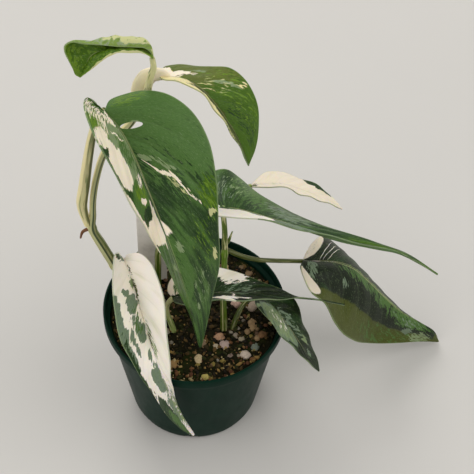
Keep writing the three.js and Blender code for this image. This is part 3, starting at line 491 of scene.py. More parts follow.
def new_grid(name, columns, rows):
    """A grid whose UV map runs 0 to 1 over its columns and rows, and its vertices' places in that map."""
    clear_selection()
    bpy.ops.mesh.primitive_grid_add(x_subdivisions=columns, y_subdivisions=rows, size=2)
    piece = named(bpy.context.object, name)
    places = np.empty(len(piece.data.vertices) * 3)
    piece.data.vertices.foreach_get("co", places)
    places = places.reshape(-1, 3)
    return piece, places[:, 0], (places[:, 1] + 1) / 2


def place_vertices(piece, points_mm):
    piece.data.vertices.foreach_set("co", (points_mm * MM).ravel())
    piece.data.update()


def finish_modifier(piece, kind, **settings):
    only(piece)
    modifier = piece.modifiers.new(kind.title(), kind)
    for key, value in settings.items():
        setattr(modifier, key, value)
    bpy.ops.object.modifier_apply(modifier=modifier.name)


def cut(piece, cutter):
    """Takes the cutter's form out of the piece, and then the cutter itself away."""
    finish_modifier(piece, "BOOLEAN", operation="DIFFERENCE", object=cutter, solver="EXACT")
    bpy.data.objects.remove(cutter)


def edit(piece, *steps):
    """Runs edit mode steps on everything in the piece."""
    only(piece)
    bpy.ops.object.mode_set(mode="EDIT")
    bpy.ops.mesh.select_all(action="SELECT")
    for step in steps:
        step()
    bpy.ops.object.mode_set(mode="OBJECT")


def smooth(piece, degrees=45):
    only(piece)
    bpy.ops.object.shade_smooth_by_angle(angle=math.radians(degrees))


def join(pieces, name):
    clear_selection()
    for piece in pieces:
        piece.select_set(True)
    bpy.context.view_layer.objects.active = pieces[0]
    bpy.ops.object.join()
    return named(bpy.context.object, name)


def hand_over(piece, slot, *nodes):
    """Ties a finished piece to the frame."""
    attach(piece, "root")
    if nodes:
        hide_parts(*nodes)


# Shader helpers
def new_material(name, roughness=0.5):
    material = bpy.data.materials.new(name)
    material.use_nodes = True
    shader = material.node_tree.nodes["Principled BSDF"]
    shader.inputs["Roughness"].default_value = roughness
    return material, material.node_tree, shader


def add(tree, kind, inputs=None, **settings):
    """A node with its settings, and its inputs set to values or linked to sockets."""
    made = tree.nodes.new(kind)
    for key, value in settings.items():
        setattr(made, key, value)
    for key, value in (inputs or {}).items():
        if isinstance(value, bpy.types.NodeSocket):
            tree.links.new(value, made.inputs[key])
        else:
            made.inputs[key].default_value = value
    return made


def maths(tree, operation, a, b=0.0, clamp=False):
    return add(tree, "ShaderNodeMath", {0: a, 1: b}, operation=operation, use_clamp=clamp).outputs[0]


def times(tree, a, b):
    return maths(tree, "MULTIPLY", a, b)


def vectors(tree, operation, a, b=(0, 0, 0)):
    made = add(tree, "ShaderNodeVectorMath", {0: a, 1: b}, operation=operation)
    return made.outputs["Value"] if operation == "LENGTH" else made.outputs["Vector"]


def ramp(tree, value, low, high):
    """0 below low and 1 above high, with a soft step between; low may be the higher number."""
    inputs = {"Value": value, "From Min": low, "From Max": high}
    return add(tree, "ShaderNodeMapRange", inputs, interpolation_type="SMOOTHSTEP").outputs["Result"]


def mixed(tree, share, below, above):
    made = add(tree, "ShaderNodeMix", data_type="RGBA")
    for index, value in ((0, share), (6, below), (7, above)):
        if isinstance(value, bpy.types.NodeSocket):
            tree.links.new(value, made.inputs[index])
        else:
            made.inputs[index].default_value = value
    return made.outputs[2]


def grain(tree, vector, scale, detail=3.0, output="Fac"):
    inputs = {"Vector": vector, "Scale": scale, "Detail": detail, "Roughness": 0.55}
    return add(tree, "ShaderNodeTexNoise", inputs).outputs[output]


def bump(tree, shader, height, distance, strength=1.0):
    made = add(tree, "ShaderNodeBump", {"Height": height, "Distance": distance, "Strength": strength})
    tree.links.new(made.outputs["Normal"], shader.inputs["Normal"])


def let_light_in(shader, weight, reach, scale):
    """Light that enters the flesh and comes out again nearby."""
    shader.inputs["Subsurface Weight"].default_value = weight
    shader.inputs["Subsurface Radius"].default_value = reach
    shader.inputs["Subsurface Scale"].default_value = scale


def marking_group():
    """One marking: a patch with an uneven edge, or flecks, laid over a colour."""
    group = bpy.data.node_groups.new("leaf marking", "ShaderNodeTree")
    face = group.interface
    for name, kind in (("Place", "Vector"), ("Grain", "Float"), ("Middle", "Vector"), ("Size", "Vector"),
                       ("Slope", "Float"), ("Speckle", "Float"), ("Below", "Color"), ("Tone", "Color")):
        face.new_socket(name, in_out="INPUT", socket_type="NodeSocket" + kind)
    face.new_socket("Colour", in_out="OUTPUT", socket_type="NodeSocketColor")
    given = group.nodes.new("NodeGroupInput").outputs
    offset = vectors(group, "SUBTRACT", given["Place"], given["Middle"])
    beside, beyond = add(group, "ShaderNodeSeparateXYZ", {0: offset}).outputs[:2]
    dropped = maths(group, "SUBTRACT", beyond, times(group, beside, given["Slope"]))
    level = add(group, "ShaderNodeCombineXYZ", {0: beside, 1: dropped})
    reach = vectors(group, "LENGTH", vectors(group, "DIVIDE", level.outputs[0], given["Size"]))
    whole = ramp(group, reach, 1.04, 0.96)

    # Flecks show where the grain is above a height, which is lowest at the middle of the patch
    at_edge, for_speckle, at_middle, softness = 0.40, 0.62, 0.30, 0.04
    near = times(group, ramp(group, reach, 1.35, 0.4), at_middle)
    height = maths(group, "ADD", at_edge, times(group, given["Speckle"], for_speckle))
    height = maths(group, "SUBTRACT", height, near)
    limits = {"Value": given["Grain"], "From Min": height, "From Max": maths(group, "ADD", height, softness)}
    spots = add(group, "ShaderNodeMapRange", limits).outputs["Result"]
    spots = times(group, spots, ramp(group, reach, 1.40, 1.30))
    speckled = maths(group, "GREATER_THAN", given["Speckle"], 0.01)
    patch = times(group, whole, maths(group, "SUBTRACT", 1.0, speckled))
    share = maths(group, "ADD", patch, times(group, spots, speckled), clamp=True)
    result = group.nodes.new("NodeGroupOutput")
    group.links.new(mixed(group, share, given["Below"], given["Tone"]), result.inputs["Colour"])
    return group


def marked(tree, colour, name, tones, group, place, fleck):
    """The markings of a blade, painted over a colour in their order."""
    for tone, u, v, half_u, half_v, *rest in MARKINGS[name]:
        slope, speckle = (*rest, 0, 0)[:2]
        made = add(tree, "ShaderNodeGroup", node_tree=group)
        values = {"Middle": (u, v, 0), "Size": (half_u, half_v, 1), "Slope": slope, "Speckle": speckle,
                  "Tone": tones[tone]}
        for key, value in values.items():
            made.inputs[key].default_value = value
        for key, socket in {"Place": place, "Grain": fleck, "Below": colour}.items():
            tree.links.new(socket, made.inputs[key])
        colour = made.outputs["Colour"]
    return colour


def leaf_material(name, side, group):
    """The finish of one face of a blade. side is 0 for the upper face and 1 for the underside."""
    leaf = LEAVES[name]
    material, tree, shader = new_material(f"{name} {('upper face', 'underside')[side]}")
    seed = float(sorted(LEAVES).index(name))
    uv = add(tree, "ShaderNodeUVMap", uv_map="UVMap").outputs["UV"]
    centred = {"Vector": uv, "Location": (-1, 0, 0), "Scale": (2, 1, 1)}
    flat = add(tree, "ShaderNodeMapping", centred).outputs[0]
    parts = add(tree, "ShaderNodeSeparateXYZ", {0: flat}).outputs
    off_centre = maths(tree, "ABSOLUTE", parts[0])
    vein_line = maths(tree, "SUBTRACT", parts[1], times(tree, off_centre, leaf["slope"]))

    # Places in centimetres, laid out along the side veins and stretched so that grain runs with the veins
    across, along = leaf["half_width"] / 10, leaf["length"] / 10
    veined = add(tree, "ShaderNodeCombineXYZ", {0: parts[0], 1: vein_line, 2: seed * SEED_STEP}).outputs[0]
    real = vectors(tree, "MULTIPLY", veined, (across, along, 1.0))
    streaks = vectors(tree, "MULTIPLY", real, (1.0, 1.35, 1.0))
    broad = grain(tree, streaks, 0.9, 6.0)
    fleck = grain(tree, streaks, 4.5, 8.0)
    fine = grain(tree, streaks, 13.0, 4.0)

    # The edges of markings wander by a few millimetres
    wander = vectors(tree, "SUBTRACT", grain(tree, streaks, 1.3, 8.0, "Color"), (0.5, 0.5, 0.5))
    loose = leaf.get("wander", 1.0)
    drift = (0.9 * loose / across, 0.55 * loose / along, 0.0)
    place = vectors(tree, "ADD", flat, vectors(tree, "MULTIPLY", wander, drift))

    tones = {tone: linear(codes[side]) for tone, codes in TONES.items()}
    ground, mottle = GROUNDS.get(name, PLAIN_GROUND)
    colour = mixed(tree, ramp(tree, broad, 0.42, 0.66), tones[ground], tones[mottle])
    colour = marked(tree, colour, name, tones, group, place, fleck)

    # Fine flecks and mottling, which show on the green more than on the cream
    lightness = add(tree, "ShaderNodeRGBToBW", {0: colour}).outputs[0]
    green = ramp(tree, lightness, 0.50, 0.25)
    for spots, none, full, strength, tone in (
            (fine, 0.58, 0.68, 0.40, "sage"), (fleck, 0.66, 0.72, 0.50, "sage"),
            (fine, 0.44, 0.32, 0.35, "deep"), (fleck, 0.42, 0.32, 0.30, "deep")):
        share = times(tree, ramp(tree, spots, none, full), times(tree, green, strength))
        colour = mixed(tree, share, colour, tones[tone])
    stain = times(tree, ramp(tree, broad, 0.50, 0.75), 0.25)
    colour = mixed(tree, times(tree, stain, ramp(tree, lightness, 0.45, 0.6)), colour, tones["pale"])

    # The midrib, the margin and the side veins
    rib = times(tree, ramp(tree, off_centre, 0.036, 0.014), ramp(tree, parts[1], 0.95, 0.45))
    colour = mixed(tree, times(tree, rib, 0.5), colour, tones["pale"])
    edge = ramp(tree, off_centre, 0.972, 0.992)
    colour = mixed(tree, times(tree, edge, 0.5), colour, tones["sage"])
    wave = maths(tree, "SINE", times(tree, vein_line, 2 * math.pi * SIDE_VEINS))
    vein = times(tree, ramp(tree, wave, 0.90, 1.0), ramp(tree, off_centre, 0.95, 0.5))
    colour = mixed(tree, times(tree, vein, 0.06), colour, tones["sage"])
    tree.links.new(colour, shader.inputs["Base Color"])

    height = maths(tree, "ADD", times(tree, fine, 0.5), times(tree, vein, -0.25))
    bump(tree, shader, height, 0.00025, 0.6)
    smoothest = (0.34, 0.50)[side]
    rough = maths(tree, "ADD", smoothest, times(tree, broad, 0.16))
    tree.links.new(rough, shader.inputs["Roughness"])
    shader.inputs["Specular IOR Level"].default_value = 0.2
    let_light_in(shader, 0.3, (0.7, 1.0, 0.2), 0.0010)
    return material


def stalk_material(name, tones, streaks, bands, rough):
    """Waxy stalk skin, striped along its length. tones are the colours of its lower and upper end."""
    material, tree, shader = new_material(f"{name} skin", rough)
    uv = add(tree, "ShaderNodeUVMap", uv_map="UVMap").outputs["UV"]
    parts = add(tree, "ShaderNodeSeparateXYZ", {0: uv}).outputs
    lower, upper = (linear(TONES[tone][0]) for tone in tones)
    seed = float(sorted(STALKS).index(name))
    shift = (seed * SEED_STEP, seed, 0)
    place = add(tree, "ShaderNodeMapping", {"Vector": uv, "Location": shift, "Scale": (9, 3, 1)})
    stripes = grain(tree, place.outputs[0], 1.0, 4.0)
    colour = mixed(tree, parts[1], lower, upper)
    for tone, none, full in (("pale", 0.50, 0.58), ("butter", 0.58, 0.66), ("fresh", 0.46, 0.38),
                             ("dark", 0.38, 0.30)):
        share = times(tree, ramp(tree, stripes, none, full), streaks)
        colour = mixed(tree, share, colour, linear(TONES[tone][0]))

    # Bands stray a little round the stalk
    stray = 0.08
    around = maths(tree, "ADD", parts[0], times(tree, stripes, stray))
    for middle, half, tone in bands:
        off = maths(tree, "ABSOLUTE", maths(tree, "SUBTRACT", around, middle + stray / 2))
        share = times(tree, ramp(tree, off, half * 1.3, half * 0.7), 0.85)
        colour = mixed(tree, share, colour, linear(TONES[tone][0]))
    tree.links.new(colour, shader.inputs["Base Color"])
    bump(tree, shader, stripes, 0.0002, 0.5)
    let_light_in(shader, 0.25, (0.8, 1.0, 0.4), 0.0012)
    return material


def floor_material(colour):
    material, tree, shader = new_material("pale floor", 0.8)
    place = add(tree, "ShaderNodeTexCoord").outputs["Object"]
    high = tuple(min(1, c * 1.05) for c in colour)
    tree.links.new(mixed(tree, grain(tree, place, 6.0), colour, high), shader.inputs["Base Color"])
    return material


# Settings a user would change
class PotSizes(bpy.types.PropertyGroup):
    height: bpy.props.FloatProperty(name="Height", description="Height of the pot", default=0.083,
                                    unit="LENGTH")
    rim: bpy.props.FloatProperty(name="Rim radius", description="Outside of the collar", default=0.052,
                                 unit="LENGTH")
    collar: bpy.props.FloatProperty(name="Collar height", description="Height of the collar", default=0.006,
                                    unit="LENGTH")
    top: bpy.props.FloatProperty(name="Body radius", description="Outside of the wall below the collar",
                                 default=0.0495, unit="LENGTH")
    foot: bpy.props.FloatProperty(name="Foot radius", description="Where the corner meets the wall",
                                  default=0.0385, unit="LENGTH")
    wall: bpy.props.FloatProperty(name="Wall", description="Thickness of the plastic", default=0.0011,
                                  unit="LENGTH")
    colour: bpy.props.FloatVectorProperty(name="Plastic", description="Colour of the plastic",
                                          subtype="COLOR", size=4, min=0, max=1, default=linear("072319"))


class MixSizes(bpy.types.PropertyGroup):
    surface: bpy.props.FloatProperty(name="Surface", description="Height of the mix", default=0.075,
                                     unit="LENGTH")
    crumbs: bpy.props.IntProperty(name="Crumbs", description="Loose crumbs of bark and peat", default=2200)
    stones: bpy.props.IntProperty(name="Small stones", description="Small stones among the crumbs",
                                  default=120)
    colour: bpy.props.FloatVectorProperty(name="Mix", description="Colour of the mix", subtype="COLOR",
                                          size=4, min=0, max=1, default=linear("201E0C"))


class LeafSizes(bpy.types.PropertyGroup):
    thickness: bpy.props.FloatProperty(name="Thickness", description="Thickness of a blade", default=0.0007,
                                       unit="LENGTH")
    ripple: bpy.props.FloatProperty(name="Ripple", description="Wave of the margins", default=0.0006,
                                    unit="LENGTH")
    quilting: bpy.props.FloatProperty(name="Quilting", description="Rise between the side veins",
                                      default=0.0002, unit="LENGTH")


class StageSettings(bpy.types.PropertyGroup):
    floor: bpy.props.FloatVectorProperty(name="Floor", description="Colour of the floor", subtype="COLOR",
                                         size=4, min=0, max=1, default=linear("C6C4C0"))
    window: bpy.props.FloatProperty(name="Window light", description="Power of the light from behind",
                                    default=8.0)
    left: bpy.props.FloatProperty(name="Left light", description="Power of the light from the left",
                                  default=7.0)
    right: bpy.props.FloatProperty(name="Right light", description="Power of the light from the right",
                                   default=7.0)
    room: bpy.props.FloatProperty(name="Room light", description="Brightness of the light all round",
                                  default=0.60)


GROUPS = {"vine_pot": PotSizes, "vine_mix": MixSizes, "vine_leaf": LeafSizes, "vine_stage": StageSettings}


# Pieces
def make_leaf(name, sizes, group):
    leaf = LEAVES[name]
    piece, across, along = new_grid(name + "_blade", *leaf["cells"])
    points, up = blade_points(leaf, across, along)
    place_vertices(piece, points + up * relief(leaf, sizes, across, along)[:, None])
    edit(piece, bpy.ops.mesh.flip_normals)
    for side in (0, 1):
        piece.data.materials.append(leaf_material(name, side, group))
    finish_modifier(piece, "SOLIDIFY", thickness=sizes.thickness, offset=0, material_offset=1,
                    material_offset_rim=1)
    rib = make_rib(leaf, name, piece.data.materials[1])
    if name == "front_leaf":
        cut_slit(piece)
    piece = join([piece, rib], name + "_blade")
    smooth(piece, 50)
    slot = "white_leaf" if name in ("white_leaf", "cream_leaf") else "green_leaf"
    hand_over(piece, slot, name)


def relief(leaf, sizes, across, along):
    """Height of a blade's surface above its plain form, in millimetres."""
    ripple = leaf.get("ripple", sizes.ripple / MM)
    near_margin = np.abs(across) ** 5
    lift = ripple * np.sin(math.pi * along) * np.sin(8 * math.pi * along) * near_margin * np.sign(-across)
    quilt = sizes.quilting / MM * np.sin(2 * math.pi * SIDE_VEINS * (along - leaf["slope"] * np.abs(across)))
    lift -= quilt * (np.sin(math.pi * np.abs(across)) * np.sin(math.pi * along))
    groove_depth, groove_width = 0.25, 0.03
    lift -= groove_depth * np.exp(-(across / groove_width) ** 2) * (1 - along)
    if "fold" in leaf:
        fold = leaf["fold"]
        crossed = (along - leaf["slope"] * across - fold["start"]) / fold["width"]
        inside = np.clip(across, 0, 1)
        lift -= fold["depth"] * np.exp(-crossed ** 2) * inside ** 0.3 * (1 - inside ** 4)
    if "roll" in leaf:
        rise, fall = leaf["roll"]
        inner = np.clip(-across / 0.5, 0, 1)
        outer = np.clip((-across - 0.5) / 0.5, 0, 1)
        rolled = rise * np.sin(math.pi * inner) - fall * np.sin(math.pi * outer ** 0.7)
        lift += rolled * np.sin(math.pi * np.clip(along, 0, 1) ** 0.8)
    return lift


def make_rib(leaf, name, material):
    """The midrib's keel on the underside."""
    piece, across, along = new_grid(name + "_rib", 10, 60)
    share = along ** leaf["fan"]
    route = Route(leaf["midrib"])
    middle, tangent = route.at(share), route.direction(share)
    beside = 0.02
    up = unit(sum(blade_points(leaf, np.full_like(across, place), along)[1] for place in (beside, -beside)))
    side = unit(np.cross(tangent, up))
    thickest, thinnest = 1.0, 0.12
    radius = thickest * (1 - share) ** 0.7 + thinnest
    angle = math.pi * across
    ring = side * np.cos(angle)[:, None] * 0.8 + up * np.sin(angle)[:, None]
    place_vertices(piece, middle - up * 0.35 * radius[:, None] + ring * radius[:, None] * 0.75)
    close_ends(piece)
    piece.data.materials.append(material)
    return piece


def close_ends(piece):
    """Merges a rolled grid's seam, closes its open ends and turns its faces outwards."""
    edit(piece, lambda: bpy.ops.mesh.remove_doubles(threshold=DOUBLES),
         lambda: bpy.ops.mesh.fill_holes(sides=0),
         lambda: bpy.ops.mesh.select_all(action="SELECT"),
         lambda: bpy.ops.mesh.normals_make_consistent(inside=False))


def cut_slit(piece):
    """The long slit beside the front leaf's midrib."""
    middle, length, width, depth = Vector((-30.7, 3.6, 223.5)) * MM, 11 * MM, 3.2 * MM, 12 * MM
    through = Vector((0.16, -0.62, 0.76)).normalized()
    along = Vector((1, 0.12, 0.15))
    along = (along - through * along.dot(through)).normalized()
    clear_selection()
    bpy.ops.mesh.primitive_cylinder_add(vertices=40, radius=1, depth=1)
    cutter = bpy.context.object
    turn = Matrix((along, through.cross(along), through)).transposed().to_4x4()
    size = Matrix.Diagonal((length / 2, width / 2, depth, 1))
    cutter.data.transform(Matrix.Translation(middle) @ turn @ size)
    cut(piece, cutter)


def make_stalk(name, stalk):
    """A grid rolled round a line, with the rings' shape set along it."""
    line = list(stalk["line"])
    if "carries" in stalk:
        line.append(LEAVES[stalk["carries"]]["midrib"][0])
    line += stalk.get("beyond", [])
    route = Route(line)
    length = route.reached[-1]
    rows_per_mm = 0.9
    piece, across, along = new_grid(name + "_stalk", 20, max(16, int(length * rows_per_mm)))
    middle, tangent = route.at(along), route.direction(along)
    radius = spread(stalk["radii"], along)
    swelling, swelling_length = 0.45, 2.2
    for joint in stalk.get("joints", ()):
        radius = radius + swelling * np.exp(-((along - joint) * length / swelling_length) ** 2)
    if "carries" in stalk:
        collar, collar_length = 0.12, 4
        radius = radius * (1 + collar * np.exp(-((1 - along) * length / collar_length) ** 2))
    lengthwise = abs(route.direction([0.5])[0][1]) < 0.8
    reference = np.array((0, 1, 0) if lengthwise else (1, 0, 0))
    wide = unit(np.cross(tangent, reference))
    deep = np.cross(wide, tangent)
    angle = math.pi * across
    channel, channel_width = 0.14, 0.12
    groove = 1 - channel * np.exp(-((np.abs(across) - 0.5) / channel_width) ** 2) * (across < 0)
    flat = groove * stalk.get("flatten", 1)
    ring = wide * (np.cos(angle) * groove)[:, None] + deep * (np.sin(angle) * flat)[:, None]
    place_vertices(piece, middle + ring * radius[:, None])
    close_ends(piece)
    return piece


class VINE_OT_leaves(bpy.types.Operator):
    """Add the nine marbled blades"""
    bl_idname = "vine.leaves"
    bl_label = "Leaves"

    def execute(self, context):
        group = marking_group()
        for name in LEAVES:
            make_leaf(name, context.scene.vine_leaf, group)
        return {"FINISHED"}


class VINE_OT_stalks(bpy.types.Operator):
    """Add the climbing stem, the offshoot, the leaf stalks and the aerial root"""
    bl_idname = "vine.stalks"
    bl_label = "Stems and stalks"

    def execute(self, context):
        for name, stalk in STALKS.items():
            piece = make_stalk(name, stalk)
            if name == "long_petiole":
                piece = join([piece, make_stalk("spur", SPUR)], piece.name)
            slot, rough = ("root", 0.8) if name == "aerial_root" else ("stalk", 0.4)
            piece.data.materials.append(stalk_material(name, stalk["tones"], stalk.get("streaks", 0.7),
                                                       stalk.get("bands", ()), rough))
            smooth(piece, 60)
            hand_over(piece, slot, name)
        return {"FINISHED"}


class VINE_OT_pot(bpy.types.Operator):
    """Add the nursery pot"""
    bl_idname = "vine.pot"
    bl_label = "Pot"

    def execute(self, context):
        sizes = context.scene.vine_pot
        clear_selection()
        bpy.ops.mesh.primitive_plane_add(size=1)
        piece = named(bpy.context.object, "nursery_pot")
        shell = bmesh.new()
        corners = [shell.verts.new((r, 0, z)) for r, z in self.profile(sizes)]
        for a, b in zip(corners, corners[1:]):
            shell.edges.new((a, b))
        shell.to_mesh(piece.data)
        shell.free()
        round_the_axis = {"steps": 120, "angle": 2 * math.pi, "center": (0, 0, 0), "axis": (0, 0, 1)}
        edit(piece, lambda: bpy.ops.mesh.spin(**round_the_axis),
             lambda: bpy.ops.mesh.select_all(action="SELECT"),
             lambda: bpy.ops.mesh.remove_doubles(threshold=DOUBLES),
             lambda: bpy.ops.mesh.normals_make_consistent(inside=False))
        self.drain(piece)
        smooth(piece, 40)
        piece.data.materials.append(self.plastic(tuple(sizes.colour)))
        hand_over(piece, "pot_plastic", "pot")
        return {"FINISHED"}

    def profile(self, sizes):
        """Radius and height along the wall: the base, the outside, the collar, the lip and the inside."""
        height, rim, top, foot, wall = sizes.height, sizes.rim, sizes.top, sizes.foot, sizes.wall
        shoulder, under, corner = height - sizes.collar, 0.0010, 0.0034
        base = [(0, 0), (0.0352, 0), (0.0362, 0.0002), (0.0373, 0.0010), (0.0381, 0.0021), (foot, corner)]
        outside = [(foot + (top - foot) * share, corner + (shoulder - under - corner) * share)
                   for share in (k / 12 for k in range(1, 12))]
        collar = [(top, shoulder - under), (top + 0.0003, shoulder - 0.0004),
                  (top + 0.0010, shoulder - 0.0001), (rim - 0.0006, shoulder),
                  (rim - 0.0001, shoulder + 0.0002), (rim, shoulder + 0.0007)]
        inner = rim - wall
        lip = [(rim, height - 0.0007), (rim - 0.0001, height - 0.0003), (rim - 0.0004, height),
               (inner, height), (inner - 0.0003, height - 0.0003), (inner - 0.0004, height - 0.0010)]
        inside = [(inner - 0.0006, shoulder + 0.0011), (top - wall, shoulder - 0.0004),
                  (foot - wall, 0.0046), (0.0363, 0.0021), (0.0347, wall), (0, wall)]
        return base + outside + collar + lip + inside

    def drain(self, piece):
        """Cuts the drain notches round the bottom corner."""
        count, radius, size = 8, 0.0395, (0.012, 0.008, 0.0064)
        for k in range(count):
            clear_selection()
            bpy.ops.mesh.primitive_cube_add(size=1)
            cutter = bpy.context.object
            place = Matrix.Rotation(2 * math.pi * k / count, 4, "Z") @ Matrix.Translation((radius, 0, 0))
            cutter.data.transform(place @ Matrix.Diagonal((*size, 1)))
            cut(piece, cutter)

    def plastic(self, base):
        material, tree, shader = new_material("moulded green plastic", 0.32)
        place = add(tree, "ShaderNodeTexCoord").outputs["Object"]
        mottle = grain(tree, place, 60.0, 3.0)
        dust = grain(tree, vectors(tree, "MULTIPLY", place, (1, 1, 0.35)), 180.0, 4.0)
        lighter = tuple(min(1, c * 1.25) for c in base)
        colour = mixed(tree, ramp(tree, mottle, 0.3, 0.75), base, lighter)
        dusty = times(tree, ramp(tree, dust, 0.60, 0.80), 0.04)
        tree.links.new(mixed(tree, dusty, colour, linear("5B6C60")), shader.inputs["Base Color"])
        rough = maths(tree, "ADD", 0.30, times(tree, dust, 0.22))
        tree.links.new(rough, shader.inputs["Roughness"])
        bump(tree, shader, grain(tree, place, 900.0, 2.0), 0.00006, 0.5)
        shader.inputs["Specular IOR Level"].default_value = 0.05
        return material


def ground_height(x, y):
    """Height of the mix above its surface level, in metres, at a place in metres."""
    crown, crown_radius, swell, lumps = 0.0006, 0.048, 0.0011, 0.0006
    slow = noise.noise(Vector((x, y, 0)) * 90) * swell
    fine = noise.noise(Vector((x, y, 0.3)) * 420) * lumps
    return slow + fine + crown * (1 - (math.hypot(x, y) / crown_radius) ** 2)


def stone(x, y, height, half, source, faces):
    """An uneven pebble or small stone."""
    clear_selection()
    bpy.ops.mesh.primitive_ico_sphere_add(subdivisions=faces, radius=1)
    piece = bpy.context.object
    seed = Vector((source.random() * 50, source.random() * 50, 0))
    for vertex in piece.data.vertices:
        broad, fine = noise.noise(vertex.co * 1.1 + seed), noise.noise(vertex.co * 3.5 + seed)
        vertex.co *= 1 + 0.30 * broad + 0.12 * fine
    length, width, rise = 0.85 + 0.4 * source.random(), 0.75 + 0.3 * source.random(), 0.52
    shape = Matrix.Diagonal((half * length, half * width, half * rise, 1))
    turn = Matrix.Rotation(source.random() * math.pi, 4, "Z")
    tip = Matrix.Rotation(0.5 * (source.random() - 0.5), 4, "X")
    piece.data.transform(Matrix.Translation((x, y, height)) @ turn @ tip @ shape)
    return piece


